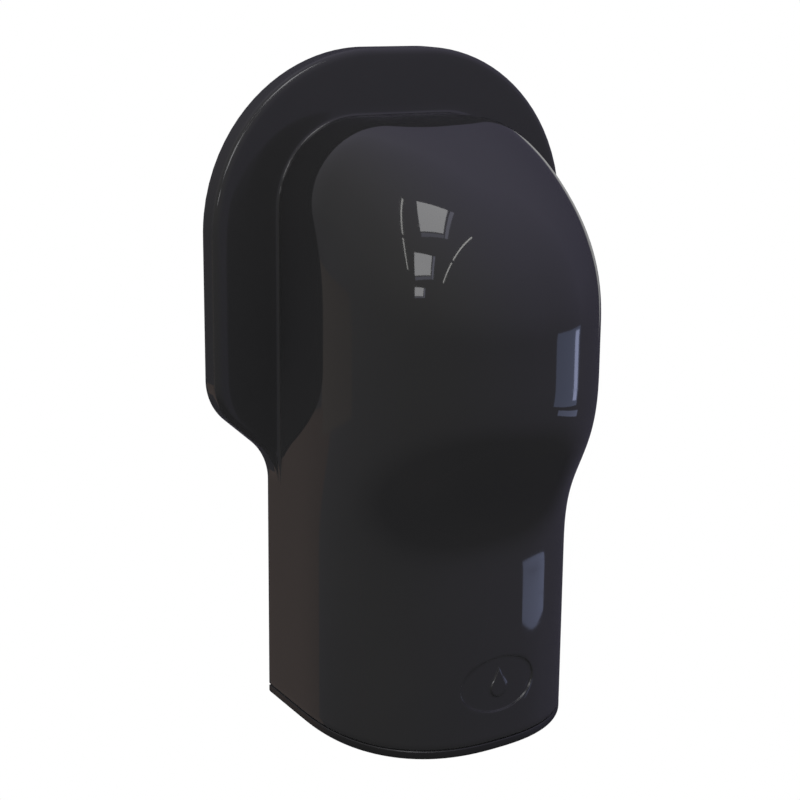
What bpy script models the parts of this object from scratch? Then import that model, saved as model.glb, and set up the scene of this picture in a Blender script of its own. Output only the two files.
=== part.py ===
"""Wall mounted soap dispenser: a lift-off hood over a wall plate, a refill bottle and a push-up pump.

Units are metres. +Z is up, the wall is the plane Y = 0 and the dispenser stands out along -Y.
Heights in this file are measured from the underside of the base plate. The root empty lowers the
whole model by ORIGIN_HEIGHT, so that the world origin lies on the wall plate's back face.
"""

import math

import bmesh
import bpy
from mathutils import Matrix, Vector

# Overall frame
ORIGIN_HEIGHT = 0.150
GAP = 0.0003  # clearance between pieces that touch on the real object

# Hood: the body that the bottle hides in
BODY_HALF_WIDTH = 0.0595
BODY_CROWN = 0.262
DOME_SPRING = 0.183  # height where the sides start to close into the dome
SIDE_FLAT = 0.031  # length of the flat side, measured from the wall
BASE_DEPTH = 0.0985
BULGE_DEPTH = 0.0264  # how far the head stands out past the lower body
BULGE_START = 0.079
BULGE_END = 0.1635
FRONT_TAPER = 0.0245  # metres of depth lost per metre of height
DOME_LEAN = 0.0133  # extra depth lost over DOME_LEAN_SPAN above the spring
DOME_LEAN_SPAN = 0.050
PLAN_EXPONENT = 2.45
DOME_EXPONENT = 2.3
ARCH_CORNER_RADIUS = 0.0375  # beside the wall the arch is a rectangle with round corners
ARCH_SOFTENS = 0.40  # share of the depth over which the corners soften into a superellipse
ARCH_EXPONENT_WALL = 3.45
ARCH_EXPONENT_FRONT = 2.8
ARCH_EXPONENT_REACH = 0.80
HOOD_WALL = 0.003
HOOD_BOTTOM = 0.0044

# Hood: the flange that lies on the wall
FLANGE_HALF_WIDTH = 0.0889
FLANGE_TOP = 0.290
FLANGE_TOP_RADIUS = 0.076
FLANGE_DEPTH = 0.0117
FLANGE_EDGE_RADIUS = 0.003
FLANGE_LOW_CENTRE = 0.152  # height where the straight side turns into the lower corner
FLANGE_LOW_RADIUS = 0.025
FLANGE_LOW_TURN = math.radians(48)

# Chassis
PLATE_THICKNESS = 0.003
PLATE_HALF_WIDTH = 0.0555
PLATE_HEAD_HALF_WIDTH = 0.080
PLATE_TOP = 0.275
PLATE_TOP_RADIUS = 0.068
PLATE_SHOULDER_LOW = 0.140
PLATE_BOTTOM = 0.0043
WALL_HOLE_RADIUS = 0.00325
WALL_HOLES = ((-0.062, 0.225), (0.062, 0.225), (-0.042, 0.040), (0.042, 0.040))
HOOK_FOOT = 0.262
HOOK_HALF_WIDTH = 0.014
BASE_THICKNESS = 0.004

# Pump, lock and refill stand on these two vertical axes
PUMP_Y = -0.049
LOCK_Y = -0.081

SMOOTH_ANGLE = math.radians(35)
ROUND_STEPS = 24


# ---------------------------------------------------------------- building blocks


def clear_scene():
    for item in list(bpy.data.objects):
        bpy.data.objects.remove(item, do_unlink=True)


def material(name, colour, roughness, metallic=0.0):
    made = bpy.data.materials.new(name)
    made.use_nodes = True
    shader = made.node_tree.nodes["Principled BSDF"]
    shader.inputs["Base Color"].default_value = (*colour, 1.0)
    shader.inputs["Roughness"].default_value = roughness
    shader.inputs["Metallic"].default_value = metallic
    return made


def empty(name, location, parent=None):
    made = bpy.data.objects.new(name, None)
    made.empty_display_size = 0.01
    made.location = location
    made.parent = parent
    bpy.context.collection.objects.link(made)
    return made


def solid(name, points, faces, finish=None):
    """An object from points and faces, with its faces turned outwards."""
    mesh = bpy.data.meshes.new(name)
    work = bmesh.new()
    corners = [work.verts.new(point) for point in points]
    for face in faces:
        work.faces.new([corners[index] for index in face])
    bmesh.ops.recalc_face_normals(work, faces=work.faces)
    work.to_mesh(mesh)
    work.free()
    mesh.shade_smooth()
    mesh.set_sharp_from_angle(angle=SMOOTH_ANGLE)
    made = bpy.data.objects.new(name, mesh)
    bpy.context.collection.objects.link(made)
    if finish:
        mesh.materials.append(finish)
    return made


def lofted(name, rings, finish=None):
    """A closed body through rings of equal length; the first and the last ring are capped."""
    count = len(rings[0])
    points = [point for ring in rings for point in ring]
    faces = [tuple(reversed(range(count)))]
    for level in range(len(rings) - 1):
        low = level * count
        high = low + count
        for index in range(count):
            after = (index + 1) % count
            faces.append((low + index, low + after, high + after, high + index))
    last = (len(rings) - 1) * count
    faces.append(tuple(range(last, last + count)))
    return solid(name, points, faces, finish)


def box(name, low, high, finish=None):
    outline = [(low[0], low[1]), (high[0], low[1]), (high[0], high[1]), (low[0], high[1])]
    return slab(name, outline, low[2], high[2], finish)


def turned(name, profile, centre, finish=None, steps=ROUND_STEPS):
    """A body turned about a vertical axis from a closed profile of (radius, height) points."""
    points = []
    rings = []
    for radius, height in profile:
        if radius == 0.0:
            rings.append([len(points)] * steps)
            points.append((centre[0], centre[1], height))
            continue
        ring = []
        for step in range(steps):
            angle = math.tau * step / steps
            x = centre[0] + radius * math.cos(angle)
            y = centre[1] + radius * math.sin(angle)
            ring.append(len(points))
            points.append((x, y, height))
        rings.append(ring)
    faces = []
    for index, ring in enumerate(rings):
        other = rings[(index + 1) % len(rings)]
        for step in range(steps):
            after = (step + 1) % steps
            corners = []
            for corner in (ring[step], ring[after], other[after], other[step]):
                if corner not in corners:
                    corners.append(corner)
            if len(corners) > 2:
                faces.append(tuple(corners))
    return solid(name, points, faces, finish)


def tube_profile(inner, outer, low, high):
    return [(inner, low), (outer, low), (outer, high), (inner, high)]


def rod_profile(radius, low, high):
    return [(0.0, low), (radius, low), (radius, high), (0.0, high)]


def prism(name, outline, front, back, finish=None):
    """An outline of (x, z) points pushed along Y from front to back."""
    rings = [[(x, y, z) for x, z in outline] for y in (front, back)]
    return lofted(name, rings, finish)


def slab(name, outline, low, high, finish=None):
    """An outline of (x, y) points raised from low to high."""
    rings = [[(x, y, z) for x, y in outline] for z in (low, high)]
    return lofted(name, rings, finish)


def laid_back(made, centre, height):
    """Turns a body made about the vertical axis so that its top points out of the wall."""
    place = Matrix.Translation(Vector((centre[0], 0.0, height))) @ Matrix.Rotation(math.pi / 2, 4, "X")
    made.data.transform(place)
    return made


def combine(target, other, operation):
    """Applies one Boolean to the target's mesh and removes the other object."""
    change = target.modifiers.new("combine", "BOOLEAN")
    change.operation = operation
    change.solver = "EXACT"
    change.object = other
    graph = bpy.context.evaluated_depsgraph_get()
    result = bpy.data.meshes.new_from_object(target.evaluated_get(graph))
    target.modifiers.remove(change)
    target.data = result
    bpy.data.objects.remove(other, do_unlink=True)
    result.shade_smooth()
    result.set_sharp_from_angle(angle=SMOOTH_ANGLE)
    return target


def join(target, *others):
    for other in others:
        combine(target, other, "UNION")
    return target


def cut(target, *others):
    for other in others:
        combine(target, other, "DIFFERENCE")
    return target


# ---------------------------------------------------------------- shapes of the hood


def smooth_step(value):
    """Rises from 0 to 1 with level ends."""
    value = min(max(value, 0.0), 1.0)
    return value**2 / (value**2 + (1.0 - value) ** 2)


def front_depth(z):
    """Distance from the wall to the front of the body at height z."""
    bulge = BULGE_DEPTH * smooth_step((z - BULGE_START) / (BULGE_END - BULGE_START))
    lean = DOME_LEAN * (max(z - DOME_SPRING, 0.0) / DOME_LEAN_SPAN) ** 2
    return BASE_DEPTH - FRONT_TAPER * z + bulge - lean


def remaining(share, exponent):
    """The other semi-axis of a superellipse, where one has reached share."""
    return (1.0 - share**exponent) ** (1.0 / exponent)


def body_point(side, z, share, inset):
    depth = front_depth(z) - inset
    return (side, -SIDE_FLAT - (depth - SIDE_FLAT) * share, z)


def rounded_reach(angle):
    """Reach of an arch with round corners, from the middle of its spring line, in half axes."""
    across, up = math.cos(angle), math.sin(angle)
    wide = ARCH_CORNER_RADIUS / BODY_HALF_WIDTH
    high = ARCH_CORNER_RADIUS / (BODY_CROWN - DOME_SPRING)
    if across * (1.0 - high) >= up:
        return 1.0 / across
    if up * (1.0 - wide) >= across:
        return 1.0 / up
    # the ray meets the corner's ellipse, whose middle is at (1 - wide, 1 - high)
    square = (across / wide) ** 2 + (up / high) ** 2
    half = across * (1.0 - wide) / wide**2 + up * (1.0 - high) / high**2
    rest = ((1.0 - wide) / wide) ** 2 + ((1.0 - high) / high) ** 2 - 1.0
    return (half + math.sqrt(half**2 - square * rest)) / square


def arch_reach(angle, share):
    """Reach of the body's arch, which softens from the wall towards the nose."""
    change = (ARCH_EXPONENT_FRONT - ARCH_EXPONENT_WALL) * smooth_step(share / ARCH_EXPONENT_REACH)
    exponent = ARCH_EXPONENT_WALL + change
    soft = (math.cos(angle) ** exponent + math.sin(angle) ** exponent) ** (-1.0 / exponent)
    blend = smooth_step(share / ARCH_SOFTENS)
    return soft * blend + rounded_reach(angle) * (1.0 - blend)


def body_contour(share, inset, low, leg_steps, arch_steps):
    """One arch of the body, from its left foot over the crown to its right foot."""
    width = (BODY_HALF_WIDTH - inset) * remaining(share, PLAN_EXPONENT)
    rise = (BODY_CROWN - inset - DOME_SPRING) * remaining(share, DOME_EXPONENT)
    left = [(-width, low + (DOME_SPRING - low) * step / leg_steps) for step in range(leg_steps)]
    for step in range(arch_steps):
        angle = math.pi / 2 * step / arch_steps
        reach = arch_reach(angle, share)
        left.append((-width * reach * math.cos(angle), DOME_SPRING + rise * reach * math.sin(angle)))
    flat = left + [(0.0, DOME_SPRING + rise)] + [(-x, z) for x, z in reversed(left)]
    return [body_point(x, z, share, inset) for x, z in flat]


def hood_body(name, inset, back, low, finish=None):
    """The body as one closed solid, open to nothing: flat at the back and at the bottom."""
    leg_steps, arch_steps, depth_steps = 14, 13, 14
    contours = []
    for step in range(depth_steps):
        angle = math.pi / 2 * step / depth_steps
        share = math.sin(angle) ** (2 / PLAN_EXPONENT)
        contours.append(body_contour(share, inset, low, leg_steps, arch_steps))
    rear = [(x, back, z) for x, _, z in contours[0]]
    contours.insert(0, rear)
    count = len(rear)
    points = [point for contour in contours for point in contour]
    faces = [tuple(range(count))]
    for level in range(len(contours) - 1):
        start = level * count
        for index in range(count - 1):
            corner = start + index
            faces.append((corner, corner + 1, corner + count + 1, corner + count))
    # the nose line, where the two sides meet at the middle of the front
    nose = len(points)
    for step in range(leg_steps + 1):
        points.append(body_point(0.0, low + (DOME_SPRING - low) * step / leg_steps, 1.0, inset))
    last = (len(contours) - 1) * count
    for step in range(leg_steps):
        faces.append((last + step, last + step + 1, nose + step + 1, nose + step))
        right = last + count - 1 - step
        faces.append((right, right - 1, nose + step + 1, nose + step))
    for index in range(leg_steps, count - 1 - leg_steps):
        faces.append((last + index, last + index + 1, nose + leg_steps))
    left_feet = [level * count for level in range(len(contours))]
    right_feet = [level * count + count - 1 for level in range(len(contours))]
    faces.append(tuple(left_feet + [nose] + list(reversed(right_feet))))
    return solid(name, points, faces, finish)


def arc(centre, radius, start, end, steps):
    """Points along a round stretch, both ends included."""
    points = []
    for step in range(steps + 1):
        angle = start + (end - start) * step / steps
        points.append((centre[0] + radius * math.cos(angle), centre[1] + radius * math.sin(angle)))
    return points


def flange_outline(inset):
    """The flange's outline, moved inwards by inset. Its foot ends inside the body."""
    low_radius = FLANGE_LOW_RADIUS
    convex = (-FLANGE_HALF_WIDTH + low_radius, FLANGE_LOW_CENTRE)
    top = (-FLANGE_HALF_WIDTH + FLANGE_TOP_RADIUS, FLANGE_TOP - FLANGE_TOP_RADIUS)
    # the lower edge runs straight from the convex corner to a concave one that meets the body's side
    concave_x = -BODY_HALF_WIDTH - low_radius + 0.0004
    run = (concave_x - convex[0]) + 2 * low_radius * math.cos(FLANGE_LOW_TURN)
    length = run / math.sin(FLANGE_LOW_TURN)
    drop = 2 * low_radius * math.sin(FLANGE_LOW_TURN) + length * math.cos(FLANGE_LOW_TURN)
    concave = (concave_x, convex[1] - drop)
    turn = FLANGE_LOW_TURN
    inner = -BODY_HALF_WIDTH / 2
    left = [(inner, concave[1])]
    left += arc(concave, low_radius + inset, 0.0, turn, 6)
    left += arc(convex, low_radius - inset, math.pi + turn, math.pi, 6)
    left += arc(top, FLANGE_TOP_RADIUS - inset, math.pi, math.pi / 2, 14)
    return left + [(-x, z) for x, z in reversed(left)]


def flange_body(name, inset, front, back, rounding, finish=None):
    """The flange as a prism with a rounded front edge."""
    steps = 3 if rounding else 0
    rings = [[(x, back, z) for x, z in flange_outline(inset)]]
    for step in range(steps + 1):
        angle = math.pi / 2 * step / steps if steps else 0.0
        shrink = rounding * (1.0 - math.cos(angle))
        y = front + rounding * (1.0 - math.sin(angle))
        rings.append([(x, y, z) for x, z in flange_outline(inset + shrink)])
    return lofted(name, rings, finish)


def base_outline(inset, height, back, steps=28):
    """Plan of the body at a height, from the left rear corner round the front to the right one."""
    half = BODY_HALF_WIDTH - inset
    depth = front_depth(height) - inset
    points = [(-half, back)]
    for step in range(steps + 1):
        angle = math.pi * step / steps
        across = math.copysign(abs(math.cos(angle)) ** (2 / PLAN_EXPONENT), math.cos(angle))
        along = math.sin(angle) ** (2 / PLAN_EXPONENT)
        points.append((-half * across, -SIDE_FLAT - (depth - SIDE_FLAT) * along))
    points.append((half, back))
    return points


# ---------------------------------------------------------------- pieces of the casing


BAR_HALF_WIDTH = 0.012
BAR_FRONT = -0.0059
BAR_BACK = -0.0036
LEDGE_LOW = 0.0125
LEDGE_TOP = 0.0163
LEDGE_BACK = -0.0890
HOOK_LIP_FRONT = -0.0082
HOOK_LIP_BACK = -0.0064
HOOK_LIP_RISE = 0.010
INTO_PLATE = -0.001  # where pieces that stand on the wall plate start, inside its thickness
SHELF_THICKNESS = 0.003
SHELF_HALF_WIDTH = 0.050
SHELF_FRONT = -0.024
BOSS_RADIUS = 0.005
BOSS_TOP = 0.020
RIB_INNER = 0.0495
RIB_OUTER = 0.0515
RIB_FRONT = -0.0085
RIB_LOW = 0.060
RIB_HIGH = 0.235


def make_hood(finish):
    hood = hood_body("housing_shell", 0.0, -0.0002, HOOD_BOTTOM, finish)
    join(hood, flange_body("flange", 0.0, -FLANGE_DEPTH, 0.0, FLANGE_EDGE_RADIUS))
    flange_floor = -FLANGE_DEPTH + HOOD_WALL
    cut(hood, hood_body("cavity", HOOD_WALL, 0.010, HOOD_BOTTOM - 0.010))
    cut(hood, flange_body("tray", HOOD_WALL, flange_floor, 0.010, 0.0))
    # a bar inside the top edge drops behind the wall plate's hook
    bar_low = (-BAR_HALF_WIDTH, BAR_FRONT, HOOK_FOOT + GAP)
    bar_high = (BAR_HALF_WIDTH, BAR_BACK, FLANGE_TOP - HOOD_WALL / 2)
    join(hood, box("bar", bar_low, bar_high))
    # the ledge that the lock's cam turns over
    ledge_front = -front_depth(LEDGE_LOW) + HOOD_WALL / 2
    ledge_low = (-BAR_HALF_WIDTH, ledge_front, LEDGE_LOW)
    join(hood, box("ledge", ledge_low, (BAR_HALF_WIDTH, LEDGE_BACK, LEDGE_TOP)))
    return hood


def plate_outline():
    head = PLATE_HEAD_HALF_WIDTH
    shoulder = PLATE_SHOULDER_LOW + (head - PLATE_HALF_WIDTH)
    left = [(-PLATE_HALF_WIDTH, PLATE_BOTTOM), (-PLATE_HALF_WIDTH, PLATE_SHOULDER_LOW)]
    left.append((-head, shoulder))
    top = (-head + PLATE_TOP_RADIUS, PLATE_TOP - PLATE_TOP_RADIUS)
    left += arc(top, PLATE_TOP_RADIUS, math.pi, math.pi / 2, 12)
    return left + [(-x, z) for x, z in reversed(left)]


def wall_hole(radius, x, z):
    hole = turned("hole", rod_profile(radius, -0.010, 0.030), (0.0, 0.0), steps=16)
    return laid_back(hole, (x, 0.0), z)


CRADLE_SCREWS = ((-0.022, 0.070), (0.022, 0.070))
CLIP_SCREW = (0.0, 0.156)
SCREW_HOLE_RADIUS = 0.0020
BASE_SCREWS = ((-0.040, -0.014), (0.040, -0.014))


def make_wall_plate(finish):
    plate = prism("wall_plate", plate_outline(), -PLATE_THICKNESS, 0.0, finish)
    # hook that carries the hood: a foot and a lip turned up in front of the hood's bar
    wide = HOOK_HALF_WIDTH
    foot = box("foot", (-wide, HOOK_LIP_FRONT, HOOK_FOOT - 0.004), (wide, INTO_PLATE, HOOK_FOOT))
    lip_top = HOOK_FOOT + HOOK_LIP_RISE
    lip = box("lip", (-wide, HOOK_LIP_FRONT, HOOK_FOOT - 0.003), (wide, HOOK_LIP_BACK, lip_top))
    join(plate, foot, lip)
    # shelf and bosses for the base plate's screws
    wide = SHELF_HALF_WIDTH
    shelf_top = PLATE_BOTTOM + SHELF_THICKNESS
    join(plate, box("shelf", (-wide, SHELF_FRONT, PLATE_BOTTOM), (wide, INTO_PLATE, shelf_top)))
    for x, y in BASE_SCREWS:
        boss = turned("boss", rod_profile(BOSS_RADIUS, PLATE_BOTTOM + 0.001, BOSS_TOP), (x, y), steps=16)
        join(plate, boss)
    # two upright ribs stiffen the plate beside the bottle
    for left, right in ((-RIB_OUTER, -RIB_INNER), (RIB_INNER, RIB_OUTER)):
        join(plate, box("rib", (left, RIB_FRONT, RIB_LOW), (right, INTO_PLATE, RIB_HIGH)))
    for x, z in WALL_HOLES:
        cut(plate, wall_hole(WALL_HOLE_RADIUS, x, z))
    for x, z in (*CRADLE_SCREWS, CLIP_SCREW):
        cut(plate, wall_hole(SCREW_HOLE_RADIUS, x, z))
    for x, y in BASE_SCREWS:
        cut(plate, turned("pilot", rod_profile(SCREW_HOLE_RADIUS, 0.0, 0.0185), (x, y), steps=16))
    return plate


PALM_HOLE_RADIUS = 0.021
LOCK_HOLE_RADIUS = 0.0073
BASE_EDGE_RADIUS = 0.0012


def make_base_plate(finish):
    """The plate under the hood: its edge shows as a thin band below the seam."""
    back = -0.0006
    edge = BASE_EDGE_RADIUS
    rings = []
    for inset, z in ((edge, 0.0), (0.3 * edge, 0.3 * edge), (0.0, edge), (0.0, BASE_THICKNESS)):
        rings.append([(x, min(y, back - inset), z) for x, y in base_outline(inset, 0.002, back)])
    plate = lofted("base_plate", rings, finish)
    # an upstand inside the hood keeps it in line
    upstand_inset = HOOD_WALL + 0.0006
    upstand = slab("upstand", base_outline(upstand_inset, 0.006, -0.027), 0.003, 0.009)
    cut(upstand, slab("inside", base_outline(upstand_inset + 0.002, 0.006, -0.020), 0.001, 0.012))
    join(plate, upstand)
    cut(plate, turned("palm_hole", rod_profile(PALM_HOLE_RADIUS, -0.01, 0.02), (0.0, PUMP_Y), steps=36))
    cut(plate, turned("lock_hole", rod_profile(LOCK_HOLE_RADIUS, -0.01, 0.02), (0.0, LOCK_Y)))
    for x, y in BASE_SCREWS:
        cut(plate, turned("screw_hole", rod_profile(0.0021, -0.01, 0.02), (x, y), steps=16))
        cut(plate, turned("counterbore", rod_profile(0.0042, -0.01, 0.0021), (x, y), steps=16))
    return plate


def screw_profile(head_radius, head_height, shank_radius, length):
    """A pan head screw standing on its head, with a socket in the head and a pointed tip."""
    socket = head_height * 0.6
    tip = head_height + length
    return [
        (0.0, socket),
        (head_radius * 0.45, socket),
        (head_radius * 0.45, 0.0),
        (head_radius * 0.8, 0.0),
        (head_radius, head_height * 0.4),
        (head_radius, head_height),
        (shank_radius, head_height),
        (shank_radius, tip - shank_radius),
        (0.0, tip),
    ]


def moved_profile(profile, lift):
    return [(radius, height + lift) for radius, height in profile]


def make_base_screws(finish):
    for side, (x, y) in zip(("left", "right"), BASE_SCREWS):
        profile = moved_profile(screw_profile(0.0038, 0.0015, 0.0017, 0.015), 0.0003)
        turned(f"base_screw_{side}", profile, (x, y), finish, steps=16)


# ---------------------------------------------------------------- refill and its carrier


SHELF_LOW = 0.085
SHELF_TOP = 0.088
NECK_RADIUS = 0.0165
NECK_MOUTH = 0.0677
CARRIER_BACK = -PLATE_THICKNESS - GAP
CARRIER_THICKNESS = 0.0024
CARRIER_HALF_WIDTH = 0.032
CARRIER_FOOT = 0.060
CRADLE_HALF_WIDTH = 0.044
CRADLE_CORNER = 0.006
CRADLE_REACH = 0.028  # from the pump's axis to the front of the shelf
GUSSET_THICKNESS = 0.003


def make_cradle(finish):
    """The bracket whose shelf carries the upturned bottle by its shoulder."""
    half = CRADLE_HALF_WIDTH
    corner = CRADLE_CORNER
    front = PUMP_Y - CRADLE_REACH
    slot = NECK_RADIUS + 0.0020
    left = [(-half, CARRIER_BACK), (-half, front + corner), (-half + corner, front), (-slot, front)]
    round_end = list(reversed(arc((0.0, PUMP_Y), slot, 0.0, math.pi, 14)))
    outline = left + round_end + [(-x, y) for x, y in reversed(left)]
    cradle = slab("bottle_cradle", outline, SHELF_LOW, SHELF_TOP, finish)
    wide = CARRIER_HALF_WIDTH
    back_low = (-wide, CARRIER_BACK - CARRIER_THICKNESS, CARRIER_FOOT)
    join(cradle, box("back", back_low, (wide, CARRIER_BACK, SHELF_TOP - 0.001)))
    rear = CARRIER_BACK - 0.001
    top = SHELF_LOW + 0.001
    gusset = [(rear, CARRIER_FOOT), (PUMP_Y + 0.012, top), (rear, top)]
    for side in (-1, 1):
        edges = (side * (wide - GUSSET_THICKNESS), side * wide)
        join(cradle, lofted("gusset", [[(x, y, z) for y, z in gusset] for x in edges]))
    for x, z in CRADLE_SCREWS:
        cut(cradle, wall_hole(SCREW_HOLE_RADIUS, x, z))
    return cradle


def wall_screw_profile():
    return screw_profile(0.0036, 0.0020, 0.0017, 0.0052)


def make_wall_side_screw(name, x, z, finish):
    """A screw through a carrier into the wall plate, its head standing on the carrier's face."""
    profile = [(radius, 0.0081 - height) for radius, height in wall_screw_profile()]
    made = turned(name, profile, (0.0, 0.0), finish, steps=16)
    return laid_back(made, (x, 0.0), z)


CLIP_INNER = 0.0466
CLIP_THICKNESS = 0.0015
CLIP_FRONT = -0.060
CLIP_FLARE = 0.0030  # the tips turn outwards to let the bottle in
CLIP_LOW = 0.150
CLIP_HIGH = 0.162


def make_clip(finish):
    """A springy band that steadies the bottle against the wall plate."""
    inner = CLIP_INNER
    outer = CLIP_INNER + CLIP_THICKNESS
    front = CLIP_FRONT
    flare = CLIP_FLARE
    outline = [
        (-outer, CARRIER_BACK),
        (-outer, front),
        (-outer - flare, front - 0.004),
        (-inner - flare, front - 0.0045),
        (-inner, front),
        (-inner, CARRIER_BACK - CARRIER_THICKNESS),
    ]
    whole = outline + [(-x, y) for x, y in reversed(outline)]
    clip = slab("bottle_clip", whole, CLIP_LOW, CLIP_HIGH, finish)
    cut(clip, wall_hole(SCREW_HOLE_RADIUS, *CLIP_SCREW))
    return clip


def rounded_ring(half_width, half_depth, exponent, z, steps=28):
    """A superellipse about the pump axis."""
    ring = []
    for step in range(steps):
        angle = math.tau * step / steps
        across = math.cos(angle)
        along = math.sin(angle)
        x = half_width * math.copysign(abs(across) ** (2 / exponent), across)
        y = half_depth * math.copysign(abs(along) ** (2 / exponent), along)
        ring.append((x, PUMP_Y + y, z))
    return ring


BOTTLE_HALF_WIDTH = 0.0460
BOTTLE_HALF_DEPTH = 0.0370
BOTTLE_WALL = 0.0014
BOTTLE_TOP = 0.222
BOTTLE_SHOULDER_RADIUS = 0.010
BOTTLE_CROWN_RADIUS = 0.016
BOTTLE_EXPONENT = 3.4


def bottle_rings(inset):
    """The bottle's surface from its mouth up to its closed end, moved inwards by inset."""
    neck = NECK_RADIUS - inset
    wide = BOTTLE_HALF_WIDTH - inset
    deep = BOTTLE_HALF_DEPTH - inset
    foot = SHELF_TOP + GAP + inset
    rings = [rounded_ring(neck, neck, 2.0, NECK_MOUTH), rounded_ring(neck, neck, 2.0, foot)]
    shoulder = BOTTLE_SHOULDER_RADIUS
    for step in range(5):
        angle = math.pi / 2 * step / 4
        shrink = shoulder * (1.0 - math.sin(angle))
        rise = shoulder * (1.0 - math.cos(angle))
        rings.append(rounded_ring(wide - shrink, deep - shrink, BOTTLE_EXPONENT, foot + rise))
    crown = BOTTLE_CROWN_RADIUS
    top = BOTTLE_TOP - inset
    for step in range(6):
        angle = math.pi / 2 * step / 5
        shrink = crown * (1.0 - math.cos(angle))
        height = top - crown + crown * math.sin(angle)
        rings.append(rounded_ring(wide - shrink, deep - shrink, BOTTLE_EXPONENT, height))
    return rings


def make_bottle(finish):
    outside = bottle_rings(0.0)
    inside = bottle_rings(BOTTLE_WALL)
    return lofted("refill_bottle", list(reversed(outside)) + inside, finish)


# ---------------------------------------------------------------- pump


CLOSURE_FLOOR = 0.0624
CLOSURE_TOP = 0.0844
CLOSURE_RADIUS = 0.0198
CLOSURE_HOLE_RADIUS = 0.0090
PISTON_HEAD = 0.0795
CYLINDER_BORE = 0.0073
SPRING_TOP = 0.1012
STEM_RADIUS = 0.0030


def make_closure(finish):
    floor_top = CLOSURE_FLOOR + 0.0027
    inner = NECK_RADIUS + 0.0005
    profile = [
        (CLOSURE_HOLE_RADIUS, CLOSURE_FLOOR),
        (CLOSURE_RADIUS - 0.001, CLOSURE_FLOOR),
        (CLOSURE_RADIUS, CLOSURE_FLOOR + 0.001),
        (CLOSURE_RADIUS, CLOSURE_TOP),
        (inner, CLOSURE_TOP),
        (inner, floor_top),
        (CLOSURE_HOLE_RADIUS, floor_top),
    ]
    return turned("bottle_closure", profile, (0.0, PUMP_Y), finish, steps=32)


def make_gasket(finish):
    profile = tube_profile(0.0095, 0.0158, 0.0664, NECK_MOUTH - GAP)
    return turned("neck_gasket", profile, (0.0, PUMP_Y), finish)


def make_cylinder(finish):
    """The pump's barrel, clamped by its collar between the closure and the bottle's mouth."""
    profile = [
        (CYLINDER_BORE, 0.0654),
        (0.0160, 0.0654),
        (0.0160, 0.0661),
        (0.0086, 0.0661),
        (0.0086, 0.1110),
        (0.0046, 0.1130),
        (0.0046, 0.1180),
        (0.0022, 0.1180),
        (0.0022, 0.1105),
        (0.0036, 0.1090),
        (0.0036, 0.1030),
        (CYLINDER_BORE, 0.1030),
    ]
    return turned("pump_cylinder", profile, (0.0, PUMP_Y), finish)


BALL_RADIUS = 0.0030
BALL_HEIGHT = 0.1063


def make_ball(name, radius, height, finish):
    """A ball on the pump's axis."""
    steps = 8
    profile = [(0.0, height - radius)]
    for step in range(1, steps):
        angle = math.pi * step / steps
        profile.append((radius * math.sin(angle), height - radius * math.cos(angle)))
    profile.append((0.0, height + radius))
    return turned(name, profile, (0.0, PUMP_Y), finish, steps=16)


def make_spring(finish):
    """The return spring, between the piston's head and the ball retainer."""
    turns, per_turn, sides = 6, 12, 5
    wire, coil = 0.0005, 0.0056
    low = PISTON_HEAD + GAP + wire
    high = SPRING_TOP - wire
    rings = []
    for step in range(turns * per_turn + 1):
        share = step / (turns * per_turn)
        angle = math.tau * turns * share
        out = Vector((math.cos(angle), math.sin(angle), 0.0))
        centre = out * coil + Vector((0.0, PUMP_Y, low + (high - low) * share))
        ring = []
        for side in range(sides):
            around = math.tau * side / sides
            lift = Vector((0.0, 0.0, wire * math.sin(around)))
            ring.append(centre + out * (wire * math.cos(around)) + lift)
        rings.append([tuple(point) for point in ring])
    return lofted("return_spring", rings, finish)


def make_piston(plastic, seal):
    """The hollow stem with its head, and the cup seal that sits under the head."""
    bore = SOAP_CHANNEL_RADIUS
    stem = [
        (bore, 0.0300),
        (STEM_RADIUS, 0.0300),
        (STEM_RADIUS, 0.0780),
        (0.0066, 0.0780),
        (0.0066, PISTON_HEAD),
        (bore, PISTON_HEAD),
    ]
    cup = [
        (STEM_RADIUS + GAP, 0.0743),
        (0.0069, 0.0743),
        (0.0070, 0.0752),
        (0.0066, 0.0760),
        (0.0070, 0.0768),
        (0.0069, 0.0777),
        (STEM_RADIUS + GAP, 0.0777),
    ]
    return [
        turned("piston_stem", stem, (0.0, PUMP_Y), plastic, steps=16),
        turned("piston_seal", cup, (0.0, PUMP_Y), seal),
    ]


def make_stem_guide(finish):
    profile = [
        (STEM_RADIUS + GAP, 0.0640),
        (0.0070, 0.0640),
        (0.0070, 0.0740),
        (STEM_RADIUS + GAP, 0.0740),
    ]
    return turned("stem_guide", profile, (0.0, PUMP_Y), finish)


PALM_RADIUS = 0.0190
PALM_LOW = -0.0085
PALM_RIM = 0.0140
PALM_WALL = 0.0020
PALM_EDGE_RADIUS = 0.0060
PALM_HUB_RADIUS = 0.0060
PALM_HUB_TOP = 0.0400
STEM_SOCKET_FLOOR = 0.0290
SOAP_CHANNEL_RADIUS = 0.0016
NOZZLE_SEAT_RADIUS = 0.0032


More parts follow.
